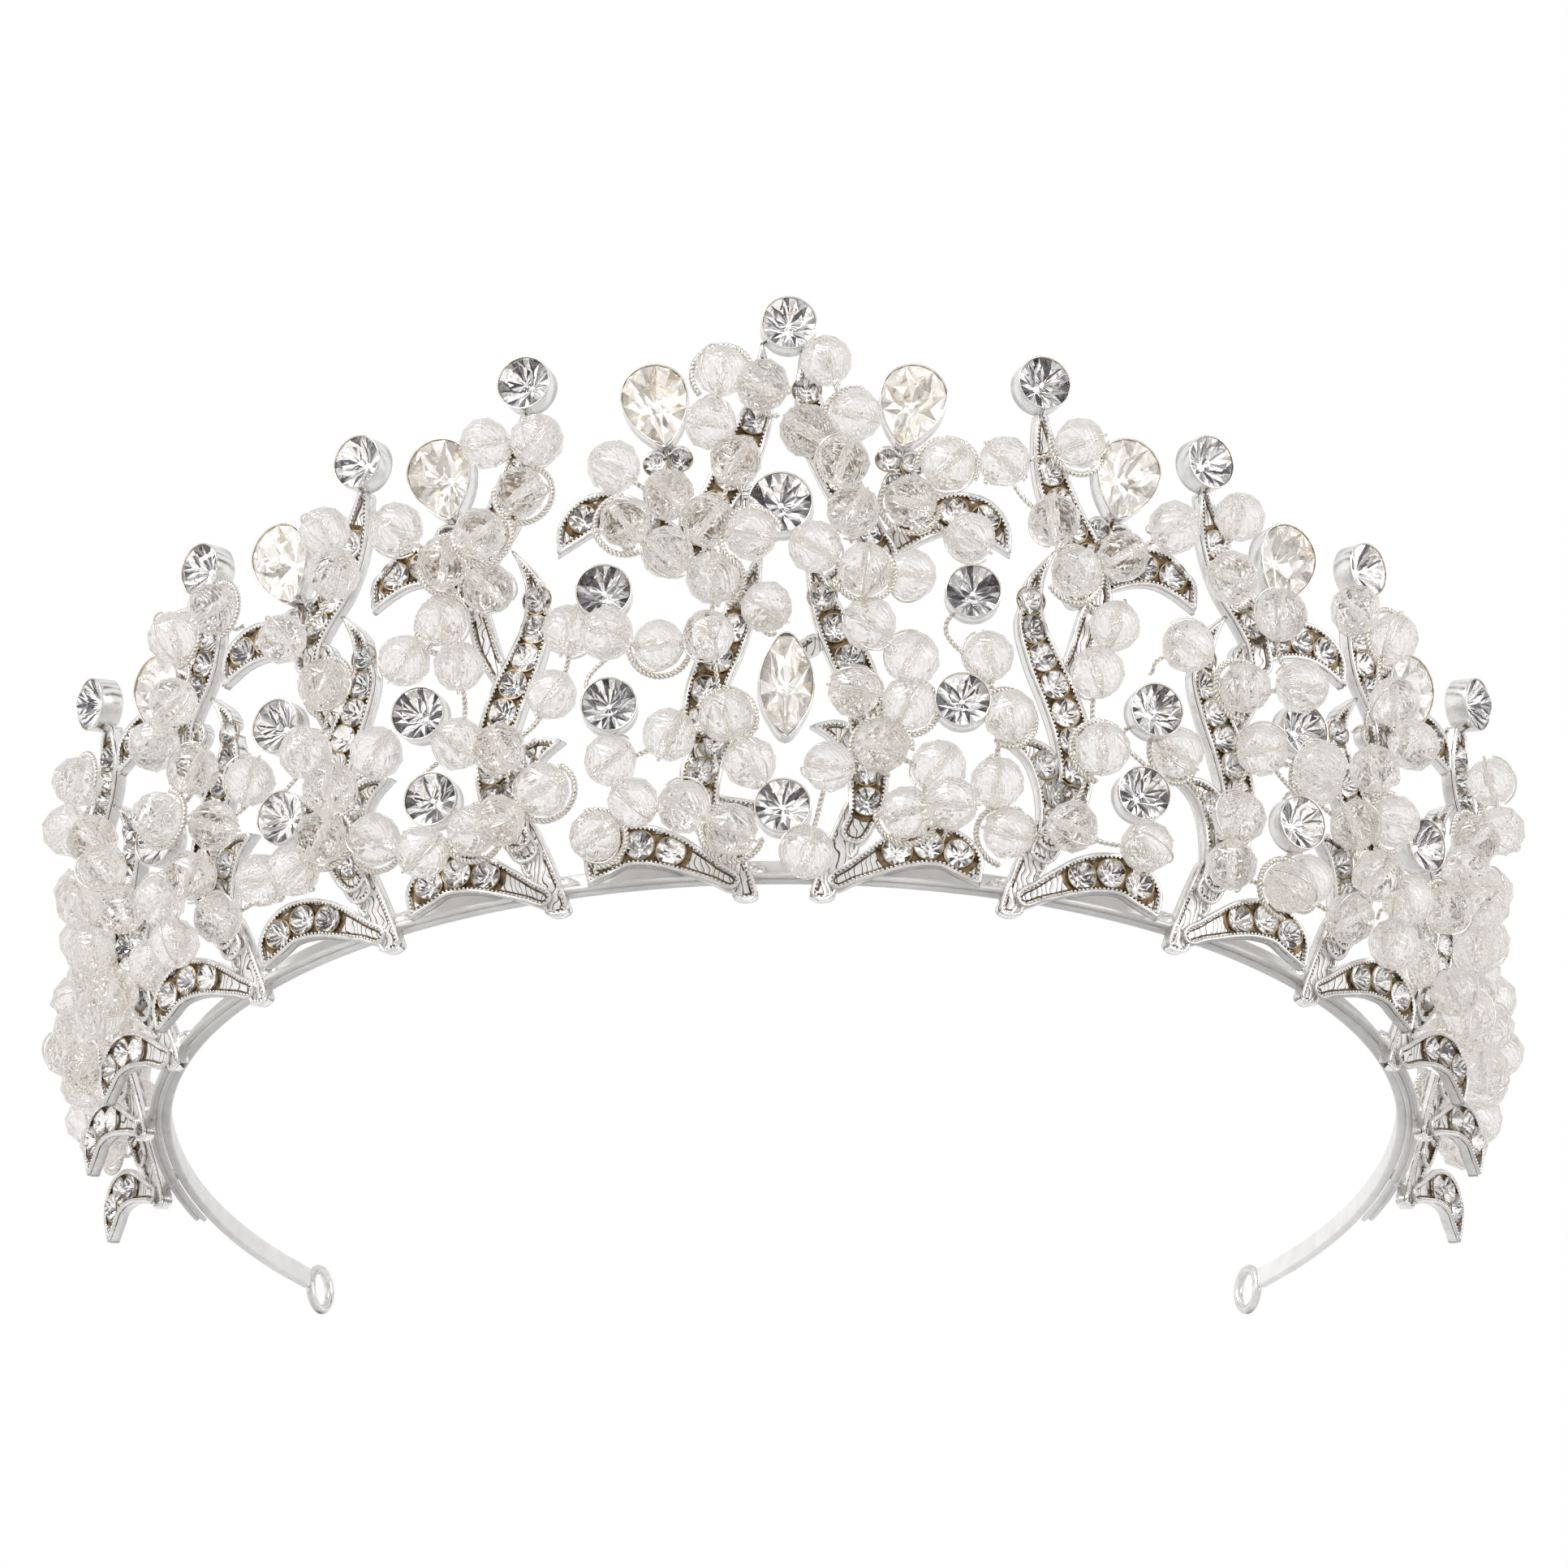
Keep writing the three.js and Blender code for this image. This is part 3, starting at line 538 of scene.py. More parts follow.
class Plane:
    """The flat frame of a casting or a stone: X along the band, Y up its face, Z forward."""

    def __init__(self, points, faces):
        normals, areas = face_normals(points, faces)
        alike = normals @ normals.T > FLAT
        widest = np.argmax(alike @ areas)
        forward = unit((normals[alike[widest]] * areas[alike[widest], None]).sum(0))
        middle = points.mean(0)
        if forward[0] * middle[0] + forward[1] * middle[1] < 0:
            forward = -forward
        up = unit(np.array([0, 0, 1]) - forward * forward[2])
        self.axes = np.stack([np.cross(up, forward), up, forward])
        self.back = (points @ forward).min()

    def local(self, points):
        flat = points @ self.axes.T
        flat[:, 2] -= self.back
        return flat

    def world(self, points):
        moved = points.copy()
        moved[:, 2] += self.back
        return moved @ self.axes


def components(faces):
    """Groups of faces that share edges."""
    owner = {}
    parent = list(range(len(faces)))

    def root(i):
        while parent[i] != i:
            parent[i] = parent[parent[i]]
            i = parent[i]
        return i

    for i, face in enumerate(faces):
        for a, b in ((0, 1), (1, 2), (2, 0)):
            edge = tuple(sorted((face[a], face[b])))
            if edge in owner:
                parent[root(i)] = root(owner[edge])
            else:
                owner[edge] = i
    groups = {}
    for i in range(len(faces)):
        groups.setdefault(root(i), []).append(i)
    return [faces[group] for group in groups.values()]


def boundary_loops(patch, opposite):
    """The edge loops round a patch of faces, each with whether its edge meets a rising wall."""
    inside = {(f[i], f[(i + 1) % 3]) for f in patch for i in range(3)}
    after = {}
    for a, b in inside:
        if (b, a) not in inside:
            after.setdefault(a, []).append(b)
    loops = []
    while after:
        start = next(iter(after))
        loop = [start]
        while True:
            here = loop[-1]
            nexts = after[here]
            there = nexts.pop()
            if not nexts:
                del after[here]
            if there == start:
                break
            if there not in after:
                break
            loop.append(there)
        rising = [opposite.get((loop[(i + 1) % len(loop)], loop[i]), False)
                  for i in range(len(loop))]
        loops.append((loop, rising))
    return loops


def area_of(outline):
    x, y = outline[:, 0], outline[:, 1]
    return 0.5 * (x @ np.roll(y, -1) - y @ np.roll(x, -1))


def hermite(t, start, leave, end, arrive, reach=1.0):
    """The place at t on a smooth curve from one point to another, with a direction at each."""
    return ((2 * t**3 - 3 * t**2 + 1) * start + (t**3 - 2 * t**2 + t) * reach * leave
            + (-2 * t**3 + 3 * t**2) * end + (t**3 - t**2) * reach * arrive)


def smoothed(outline, flags, steps=6):
    """A closed outline made round between its real corners, with each edge's flag carried on."""
    keep = [i for i in range(len(outline))
            if np.linalg.norm(outline[i] - outline[i - 1]) > 0.12]
    outline = outline[keep]
    flags = [flags[i] for i in keep]
    count = len(outline)
    before = unit(outline - np.roll(outline, 1, 0))
    after = unit(np.roll(outline, -1, 0) - outline)
    turn = np.arccos(np.clip((before * after).sum(1), -1, 1))
    lengths = np.linalg.norm(np.roll(outline, -1, 0) - outline, axis=1)
    tangents = unit(before + after)
    dense, marks = [], []
    for i in range(count):
        j = (i + 1) % count
        leave = after[i] if turn[i] > CORNER else tangents[i]
        arrive = after[i] if turn[j] > CORNER else tangents[j]
        for k in range(steps):
            dense.append(hermite(k / steps, outline[i], leave, outline[j], arrive, lengths[i]))
            marks.append(flags[i])
    return np.array(dense), np.array(marks)


def resampled(line, spacing):
    """Points at even steps along an open line."""
    steps = np.linalg.norm(np.diff(line, axis=0), axis=1)
    run = np.concatenate([[0], np.cumsum(steps)])
    count = max(int(run[-1] / spacing), 1)
    at = np.linspace(0, run[-1], count + 1)
    return np.stack([np.interp(at, run, line[:, i]) for i in range(line.shape[1])], 1)


def inset(outline, amount):
    """A closed outline moved inwards (it runs anticlockwise)."""
    before = unit(outline - np.roll(outline, 1, 0))
    after = unit(np.roll(outline, -1, 0) - outline)
    along = unit(before + after)
    return outline + amount * np.stack([-along[:, 1], along[:, 0]], 1)


def runs(marks):
    """Stretches of a closed outline where the mark is false, as lists of places."""
    count = len(marks)
    if not marks.any():
        return [list(range(count)) + [0]]
    start = int(np.argmax(marks))
    stretches, current = [], []
    for step in range(1, count + 1):
        i = (start + step) % count
        if marks[i]:
            if current:
                stretches.append(current + [i])
            current = []
        else:
            current.append(i)
    return stretches


# --- Stones ----------------------------------------------------------------------------------


def gem(build, girdle, centre, crown, table, depth, glassware, foils, mix):
    """A cut stone over a girdle outline of an even number of points: a crown of glass with a table,
    and a pavilion backed with foil whose facets are painted in the foil's bright tone, in painted
    half shade, in painted shade and, on pears, with a painted glint, as painted reflections."""
    middle = np.array(centre, float)
    flat = girdle - middle[:2]

    def ring(points, scale, z):
        return np.column_stack([middle[:2] + points * scale, np.full(len(points), middle[2] + z)])

    even, odd = flat[0::2], flat[1::2]
    edge, low = ring(flat, 1.0, 0.0), ring(flat, 1.0, -0.1)
    gem_crown(build, ring(even, table, crown), ring(odd, (1 + table) / 2, crown * 0.52), edge,
              glassware)
    build.add(np.concatenate([edge, low]), ring_faces(2, len(flat))[:, ::-1], glassware,
              smooth=False)
    under, culet = ring(even, 0.42, -depth * 0.62), ring(odd, 0.1, -depth)
    gem_pavilion(build, low, under, culet, foils, mix)


def facet_corners(half):
    """For each facet round a stone, its place, the next one, and its three girdle points."""
    i = np.arange(half)
    return i, (i + 1) % half, 2 * i, 2 * i + 1, (2 * i + 2) % (2 * half)


def gem_crown(build, top, kite, edge, glassware):
    """The table, and star, kite and girdle facets from it down to the girdle's edge."""
    half = len(top)
    i, j, here, between, there = facet_corners(half)
    k, edge_start = half, 2 * half
    here, between, there = here + edge_start, between + edge_start, there + edge_start
    faces = np.concatenate([
        np.stack(corners, 1) for corners in (
            (i, k + i, j), (i, here, k + i), (j, k + i, there),
            (k + i, here, between), (k + i, between, there))
    ])
    build.add(np.concatenate([top, kite, edge]), faces, glassware, smooth=False)
    build.add(top, [list(range(half))], glassware, smooth=False)


def gem_pavilion(build, low, under, culet, foils, mix):
    """The facets behind a stone, down to a small flat culet, each given one of the foil's tones:
    bright, painted half shade, painted shade.
    """
    half = len(under)
    i, j, here, between, there = facet_corners(half)
    u, p = 2 * half, 3 * half
    points = np.concatenate([low, under, culet])
    faces = np.concatenate([
        np.stack(corners, 1) for corners in (
            (u + i, between, here), (u + i, p + i, between), (u + j, between, p + i),
            (u + j, there, between), (u + i, p + (i - 1) % half, p + i))
    ])
    # Each facet gets one tone at random, which paints reflections as light and shade.
    painted_light_tones = rng.choice(3, len(faces), p=mix)
    for tone, name in enumerate(foils):
        if (painted_light_tones == tone).any():
            build.add(points, faces[painted_light_tones == tone], name, smooth=False)
    build.add(culet, [list(range(half))[::-1]], foils[0], smooth=False)


def circle(radius, count, start=0.0):
    turn = start + np.arange(count) / count * 2 * math.pi
    return radius * np.stack([np.cos(turn), np.sin(turn)], 1)


def setting(build, outline, centre, deep):
    """A cup round a stone: a wall outside its girdle, a rounded lip, and a closed back."""
    middle = np.array(centre, float)
    flat = outline - middle[:2]
    far = unit(flat)
    wall, shoulder = CUP_WALL, CUP_LIP * 0.6
    sections = [(-deep, -0.9), (-deep, 0.0), (-deep + 0.25, wall), (-0.3, wall), (shoulder, wall),
                (CUP_LIP, wall * 0.6), (shoulder, 0.05), (-0.14, -0.04)]
    rings = []
    for height, out in sections:
        spot = middle[:2] + flat + far * out
        rings.append(np.column_stack([spot, np.full(len(flat), middle[2] + height)]))
    count = len(flat)
    outside, inside_lip = np.concatenate(rings[:-1]), np.concatenate(rings[-2:])
    build.add(outside, ring_faces(len(rings) - 1, count), "silver")
    build.add(inside_lip, ring_faces(2, count), "dark_warm_gold")
    build.add(rings[0], [list(range(count))[::-1]], "silver", smooth=False)


def girdle_of(flat):
    """The widest ring of a cut stone: its points in order, and their level."""
    levels = np.unique(np.round(flat[:, 2], 2))
    level = levels[1]
    ring = flat[np.abs(flat[:, 2] - level) < 0.03][:, :2]
    middle = ring.mean(0)
    order = np.argsort(np.arctan2(*(ring - middle).T[::-1]))
    return ring[order], level, levels[-1]


def fine_outline(ring, count):
    """A girdle's outline with more points: a true circle where the ring is one."""
    middle = ring.mean(0)
    reach = np.linalg.norm(ring - middle, axis=1)
    if reach.max() - reach.min() < 0.05:
        return middle + circle(reach.mean(), count), middle
    dense, _ = smoothed(ring, [False] * len(ring), 12)
    tip = int(np.argmax(np.linalg.norm(dense - middle, axis=1)))
    closed = np.concatenate([dense[tip:], dense[:tip + 1]])
    length = np.linalg.norm(np.diff(closed, axis=0), axis=1).sum()
    return resampled(closed, length / count)[:count], middle


def cup_stone(name, facets):
    """A stone in its cup, in place of its CAD solid."""
    points, faces = node_mesh(name)
    plane = Plane(points, faces)
    ring, level, top = girdle_of(plane.local(points))
    is_round = np.ptp(np.linalg.norm(ring - ring.mean(0), axis=1)) < 0.05
    outline, middle = fine_outline(ring, facets)
    centre = (*middle, level)
    glassware = "crown" if is_round else "warm_crown"
    foils = CLEAR_FOILS if is_round else WARM_FOILS
    mix = CHATON_MIX if is_round else PEAR_MIX
    build = Build("silver", "dark_warm_gold", glassware, *foils)
    table = 0.5 if is_round else 0.34
    crown = CROWN_SHARE * (top - level)
    depth = PAVILION_SHARE * np.linalg.norm(outline - middle, axis=1).min()
    gem(build, outline, centre, crown, table, depth, glassware, foils, mix)
    smooth_outline, _ = fine_outline(ring, 48)
    setting(build, smooth_outline, centre, CUP_DEPTH)
    build.finish("set_" + name, plane.world, name)


def near_groups(points, reach):
    """Points grouped with the first one that they are nearer to than `reach`."""
    groups = []
    for point in points:
        for group in groups:
            if np.linalg.norm(group[0] - point) < reach:
                group.append(point)
                break
        else:
            groups.append([point])
    return groups


def wire_stones(name):
    """The round stones of one unit that stand on wire, in deep cups."""
    points, faces = node_mesh(name)
    plane = Plane(points, faces)
    flat = plane.local(points)
    top = flat[:, 2].max()
    table = flat[flat[:, 2] > top - 0.02][:, :2]
    groups = near_groups(table, 2 * BEAD_RADIUS)
    build = Build("silver", "dark_warm_gold", "wire", "crown", *CLEAR_FOILS)
    centres = []
    for group in groups:
        middle = np.mean(group, 0)
        near = flat[np.linalg.norm(flat[:, :2] - middle, axis=1) < 1.2 * BEAD_RADIUS]
        reach = np.linalg.norm(near[:, :2] - middle, axis=1).max()
        level = near[np.linalg.norm(near[:, :2] - middle, axis=1) > reach - 0.02][:, 2].mean()
        centre = (*middle, level)
        outline = middle + circle(reach, 24)
        crown, depth = CROWN_SHARE * (top - level), PAVILION_SHARE * reach
        gem(build, outline, centre, crown, 0.5, depth, "crown", CLEAR_FOILS, CHATON_MIX)
        setting(build, middle + circle(reach, 40), centre, WIRE_CUP_DEPTH)
        centres.append(np.array(centre) - [0, 0, WIRE_CUP_DEPTH])
    for start, end in zip(centres, centres[1:]):
        t = np.linspace(0, 1, 60)[:, None]
        sway = np.array([2.6, 0, 0]) * np.sin(2 * math.pi * t)
        sink = np.array([0, 0, -1.0]) * np.sin(math.pi * t)
        twisted_wire(build, start + (end - start) * t + sway + sink, STONE_WIRE)
    for centre in centres:
        down = centre - [0, 0, 1.6]
        twisted_wire(build, np.linspace(centre, down, 8), STONE_WIRE)
    build.finish("set_" + name, plane.world, name)


# --- Wires and beads -------------------------------------------------------------------------


def twisted_wire(build, line, kind):
    """Two fine wires twisted round a line. `kind` is their radius and pitch."""
    radius, pitch = kind
    line = np.asarray(line, float)
    total = np.linalg.norm(np.diff(line, axis=0), axis=1).sum()
    line = resampled(line, min(pitch / 7, total / 4))
    ahead = unit(np.gradient(line, axis=0))
    side = np.cross(ahead, [0.21, 0.34, 0.91])
    side = unit(side)
    across = np.cross(ahead, side)
    run = np.concatenate([[0], np.cumsum(np.linalg.norm(np.diff(line, axis=0), axis=1))])
    for phase in (0, math.pi):
        turn = (run / pitch * 2 * math.pi + phase)[:, None]
        strand = line + radius * 0.55 * (np.cos(turn) * side + np.sin(turn) * across)
        tube(build, strand, radius * 0.55, "wire", sides=5)


def bead_centres(points, faces):
    """Centres of the beads in a sprig, from the whole triangles of their CAD solids."""
    edge = BEAD_RADIUS / math.sin(2 * math.pi / 5)
    inner = edge * (3 * math.sqrt(3) + math.sqrt(15)) / 12
    normals, _ = face_normals(points, faces)
    corners = points[faces]
    lengths = np.linalg.norm(corners - np.roll(corners, 1, 1), axis=2)
    whole = np.all(np.abs(lengths - edge) < 0.05, axis=1)
    guesses = corners[whole].mean(1) - normals[whole] * inner
    groups = near_groups(guesses, 0.6)
    return np.array([np.mean(group, 0) for group in groups if len(group) > 2])


def spanning_pairs(points):
    """Pairs of neighbours that join every point with the least wire."""
    joined = [0]
    rest = list(range(1, len(points)))
    pairs = []
    while rest:
        gaps = np.linalg.norm(points[joined][:, None] - points[rest][None], axis=2)
        i, j = np.unravel_index(np.argmin(gaps), gaps.shape)
        pairs.append((joined[i], rest[j]))
        joined.append(rest.pop(j))
    return pairs


def bead_shape(radius):
    """A faceted glass bead with a hole along Z: rows of staggered facets round it."""
    around = 9
    heights = [0.9, 0.66, 0.24, -0.24, -0.66, -0.9]
    hole, mouth = 0.42, 0.93
    rings = [np.column_stack([circle(hole, around), np.full(around, radius * mouth)])]
    for row, height in enumerate(heights):
        reach = math.sqrt(1 - height**2)
        ring = circle(radius * reach * (0.99 if abs(height) > 0.5 else 1.03), around,
                      (row % 2) * math.pi / around)
        rings.append(np.column_stack([ring, np.full(around, radius * height)]))
    rings.append(np.column_stack([circle(hole, around, math.pi / around),
                                  np.full(around, -radius * mouth)]))
    faces = []
    for row in range(len(rings) - 1):
        for i in range(around):
            a, b = row * around + i, row * around + (i + 1) % around
            c, d = a + around, b + around
            if row in (0, 1, 3, 5, len(rings) - 2):
                faces += [(a, c, b), (b, c, d)]
            else:
                faces += [(a, c, d), (a, d, b)]
    last = (len(rings) - 1) * around
    for i in range(around):
        j = (i + 1) % around
        faces += [(i, j, last + i), (j, last + j, last + i)]
    return np.concatenate(rings), np.array(faces)


BEAD = bead_shape(BEAD_RADIUS)


def rotation_to(direction):
    """A rotation whose Z axis is the direction, with a random turn about it."""
    z = unit(np.asarray(direction, float))
    x = unit(np.cross([0.3, 1.0, 0.2], z))
    y = np.cross(z, x)
    turn = rng.uniform(0, 2 * math.pi)
    x, y = math.cos(turn) * x + math.sin(turn) * y, math.cos(turn) * y - math.sin(turn) * x
    return np.stack([x, y, z])


def sprig(name, plane):
    """Beads on their wire: the stem twists from bead to bead and a loop hugs each one."""
    points, faces = node_mesh(name)
    flat = plane.local(bead_centres(points, faces))
    pairs = spanning_pairs(flat)
    near = {i: [] for i in range(len(flat))}
    for i, j in pairs:
        near[i].append(flat[j] - flat[i])
        near[j].append(flat[i] - flat[j])
    glassware = Build("bead")
    metal = Build("wire")
    for i, centre in enumerate(flat):
        wired_bead(glassware, metal, centre, near[i][0])
    for i, j in pairs:
        start, end = flat[i], flat[j]
        gap = np.linalg.norm(end - start)
        t = np.linspace(0.22, 0.78, 14)[:, None]
        sag = np.array([0, 0, -1.4 - 0.1 * gap]) * np.sin(math.pi * t)
        twisted_wire(metal, start + (end - start) * t + sag, STEM_WIRE)
    for centre in flat[::4]:
        curl(metal, centre)
    for centre in flat[1::3]:
        rope_loop(metal, centre)
    metal.finish("wire_" + name, plane.world, name)
    glassware.finish("beads_" + name, plane.world, name)


def wired_bead(glassware, metal, centre, towards):
    """A bead threaded roughly towards its neighbour, with a wire through it and one round it."""
    shape, shape_faces = BEAD
    turn = rotation_to(unit(towards) + rng.normal(0, 0.25, 3))
    scale = rng.uniform(0.97, 1.05)
    glassware.add(shape * scale @ turn + centre, shape_faces, "bead", smooth=False)
    axis = turn[2]
    span = np.linspace(-1, 1, 7)[:, None] * (BEAD_RADIUS * 1.08) * axis + centre
    tube(metal, span, 0.16, "wire", sides=5)
    arc = np.linspace(-1.25, 1.25, 18)[:, None]
    swing = BEAD_RADIUS * scale * 1.07
    side = unit(turn[0] + 0.5 * turn[1])
    loop = centre + swing * (np.sin(arc) * axis + np.cos(arc) * side)
    tube(metal, loop, 0.13, "wire", sides=5)


def rope_loop(build, centre):
    """A twisted wire that runs most of the way round a bead, behind its middle."""
    start = rng.uniform(0, 2 * math.pi)
    turn = start + np.linspace(0, rng.uniform(3.4, 4.8), 50)
    wide = BEAD_RADIUS + 0.45
    x, y = centre[0] + wide * np.cos(turn), centre[1] + wide * np.sin(turn)
    z = centre[2] - 0.6 - 0.8 * np.linspace(0, 1, 50)
    twisted_wire(build, np.stack([x, y, z], 1), ROPE_WIRE)


def curl(build, centre):
    """A stem from a bead back to the casting, with a turn in it."""
    t = np.linspace(0, 1, 40)
    lean = rng.uniform(0, 2 * math.pi)
    wide = rng.uniform(0.8, 1.5)
    reach = max(centre[2] - 1.2, 1.0)
    turn = lean + t * 2 * math.pi * 1.1
    swell = wide * np.sin(math.pi * np.clip(t * 1.1, 0, 1))
    x = centre[0] + swell * np.cos(turn) + 1.5 * t * math.cos(lean)
    y = centre[1] - 2.2 * t + swell * np.sin(turn)
    z = centre[2] - BEAD_RADIUS * 0.6 - (reach - BEAD_RADIUS * 0.6) * t
    twisted_wire(build, np.stack([x, y, z], 1), CURL_WIRE)


# --- Castings --------------------------------------------------------------------------------


def casting(name):
    """A spray: leaves with raised rims and milgrain, floors with painted shade round their stones
    and in their cuts, and small stones in them.
    """
    points, faces = node_mesh(name)
    plane = Plane(points, faces)
    flat = plane.local(points)
    local_normals, _ = face_normals(flat, faces)
    heights = flat[faces][:, :, 2].mean(1)
    forward = local_normals[:, 2] > FLAT
    forward &= (heights > PLATE - 0.1) & (heights < CUP_HEIGHT - 0.1)
    top_of = {}
    for face in faces:
        high = flat[face, 2].max()
        for i in range(3):
            top_of[(face[i], face[(i + 1) % 3])] = high
    seats = small_stone_seats(flat, faces, local_normals)
    metal = Build("silver", "engraved_with_painted_shade", "painted_shade")
    for level in np.unique(np.round(heights[forward], 2)):
        on_level = faces[forward & (np.abs(heights - level) < 0.02)]
        rises = {edge: high > level + 0.04 for edge, high in top_of.items()}
        for patch in components(on_level):
            for loop, rising in boundary_loops(patch, rises):
                outline = flat[loop, :2]
                if area_of(outline) < 2.0:
                    continue
                dense, marks = smoothed(outline, rising)
                leaf_body(metal, dense, level, seats)
                rim(metal, dense, marks, level)
    foot = flat[flat[:, 1] < flat[:, 1].min() + 0.5].mean(0)
    solder(metal, foot + [0, 3.4, 0])
    metal.finish("casting_" + name, plane.world, name)
    stones = Build("dark_warm_gold", "crown", *CLEAR_FOILS)
    for x, y, level, radius in seats:
        small_stone(stones, (x, y, level - 0.05), radius)
    stones.finish("pave_" + name, plane.world, name)
    return plane


def solder(build, centre):
    """A blob of solder between a casting's foot and the strip."""
    around, rows = 14, 9
    rings = []
    for row in range(rows):
        lift = -math.cos(math.pi * (row + 0.5) / rows)
        reach = math.sqrt(1 - lift**2) * rng.uniform(0.94, 1.06, around)
        ring = circle(1.0, around) * reach[:, None] * (2.3, 1.15)
        rings.append(np.column_stack([ring, np.full(around, lift)]) + (*centre[:2], -0.25))
    build.add(np.concatenate(rings), ring_faces(rows, around), "silver")
    build.add(rings[0], [list(range(around))[::-1]], "silver")
    build.add(rings[-1], [list(range(around))], "silver")


def small_stone_seats(flat, faces, normals):
    """Place, level and radius of each small stone, which is a lone peak in the CAD solid."""
    peak = np.zeros(len(flat), bool)
    peak[faces.ravel()] = True
    peak &= flat[:, 2] > PLATE + TREFOIL[1] - 0.05
    peak[faces[np.abs(normals[:, 2]) > FLAT].ravel()] = False
    for i, j in ((0, 1), (1, 2), (2, 0)):
        a, b = faces[:, i], faces[:, j]
        peak[a[flat[a, 2] < flat[b, 2] + 0.3]] = False
        peak[b[flat[b, 2] < flat[a, 2] + 0.3]] = False
    seats = []
    for x, y, z in flat[peak]:
        radius, rise = TREFOIL if z < PLATE + SMALL_STONE[1] - 0.05 else SMALL_STONE
        radius += COLLAR
        seats.append((x, y, z - rise, radius))
    return seats


def leaf_body(build, outline, level, seats):
    """The plate of one leaf: silver sides and back, and a floor a little below its rim that has
    painted shade round the stones, is engraved elsewhere with painted shade in its cuts, and is
    pierced for the stones."""
    count = len(outline)
    floor_level = level - FLOOR_DROP
    sections = [(0.12, 0.0), (0.0, 0.14), (0.0, 0.75), (0.0, floor_level)]
    rings = [np.column_stack([inset(outline, amount), np.full(count, z)])
             for amount, z in sections]
    build.add(np.concatenate(rings), ring_faces(len(rings), count), "silver")
    edges = [(i, (i + 1) % count) for i in range(count)]
    back = rings[0][:, :2]
    corners, triangles, _ = filled(back, [Vector(point) for point in back], edges)
    build.add(np.column_stack([corners, np.zeros(len(corners))]), triangles[:, ::-1], "silver",
              smooth=False)

    spots = [Vector(point) for point in outline]
    mine = [seat for seat in seats if abs(seat[2] - level) < 0.1
            and inside(outline, np.array([seat[:2]]))[0]]
    for x, y, _, radius in mine:
        first = len(spots)
        spots += [Vector((x + dx, y + dy)) for dx, dy in circle(radius, 14)]
        edges += [(first + i, first + (i + 1) % 14) for i in range(14)]
        around = circle(radius + SHADE_MARGIN, 14) + (x, y)
        spots += [Vector(point) for point in around[inside(outline, around)]]
    corners, triangles, middles = filled(outline, spots, edges)
    # The floor near a stone is marked for painted shade.
    dark = np.zeros(len(triangles), bool)
    keep = np.ones(len(triangles), bool)
    for x, y, _, radius in mine:
        gap = np.linalg.norm(middles - (x, y), axis=1)
        keep &= gap > radius * 0.98
        dark |= gap < radius + SHADE_MARGIN
    flat = np.column_stack([corners, np.full(len(corners), floor_level)])
    for kind, chosen in (("painted_shade", keep & dark), ("engraved_with_painted_shade", keep & ~dark)):
        if chosen.any():
            build.add(flat, triangles[chosen], kind, smooth=False)


def filled(outline, spots, edges):
    """Triangles between the spots, kept to the edges given, that are inside an outline: their
    corners, the triangles and their middles."""
    result = delaunay_2d_cdt(spots, edges, [], 0, 1e-5)
    corners = np.array([tuple(point) for point in result[0]])
    triangles = np.array(result[2])
    middles = corners[triangles].mean(1)
    within = inside(outline, middles)
    return corners, triangles[within], middles[within]


def inside(outline, points):
    """Whether each point is inside a closed outline."""
    a, b = outline, np.roll(outline, -1, 0)
    x, y = points[:, 0, None], points[:, 1, None]
    crosses = (a[:, 1] > y) != (b[:, 1] > y)
    height = np.where(b[:, 1] == a[:, 1], 1e-9, b[:, 1] - a[:, 1])
    at = a[:, 0] + (y - a[:, 1]) / height * (b[:, 0] - a[:, 0])
    return ((crosses & (x < at)).sum(1) % 2).astype(bool)


def line_beside(outline, stretch, amount, z, step):
    """Even points beside a stretch of an outline, and how far each is from the whole outline."""
    line = np.column_stack([inset(outline, amount)[stretch], np.full(len(stretch), z)])
    line = resampled(line, step)
    return line, np.linalg.norm(line[:, None, :2] - outline[None], axis=2).min(1)


def rim(build, dense, marks, level):
    """A raised rim round a leaf, with a row of milgrain and a groove along its inner side, which is
    coloured with painted shade.
    """
    for stretch in runs(marks):
        if len(stretch) < 3:
            continue
        path, _ = line_beside(dense, stretch, RIM_INSET, level - 0.08, 0.5)
        if len(path) > 2:
            tube(build, path, RIM_RADIUS, "silver")
        row, gaps = line_beside(dense, stretch, GRAIN_INSET, level, GRAIN_STEP)
        balls(build, row[gaps > GRAIN_INSET - 0.06], GRAIN_RADIUS, "silver")
        # The groove is a thin tube coloured with painted shade.
        cut, gaps = line_beside(dense, stretch, GROOVE_INSET, level - FLOOR_DROP, 0.4)
        for piece in np.split(cut, np.flatnonzero(gaps < GROOVE_INSET - 0.06)):
            if len(piece) > 3:
                tube(build, piece[1:], GROOVE_RADIUS, "painted_shade", sides=5)


def small_stone(build, centre, radius):
    """A small stone with a thin collar of darker, warm gold."""
    outline = np.array(centre[:2]) + circle(radius, 16, rng.uniform(0, 1))
    gem(build, outline, centre, 0.42 * radius, 0.5, 0.72 * radius, "crown", CLEAR_FOILS, SMALL_MIX)
    collar = np.column_stack([np.array(centre[:2]) + circle(radius + 0.03, 24),
                              np.full(24, centre[2] + 0.02)])
    tube(build, collar, 0.1, "dark_warm_gold", sides=5, closed=True)


# --- Headband --------------------------------------------------------------------------------


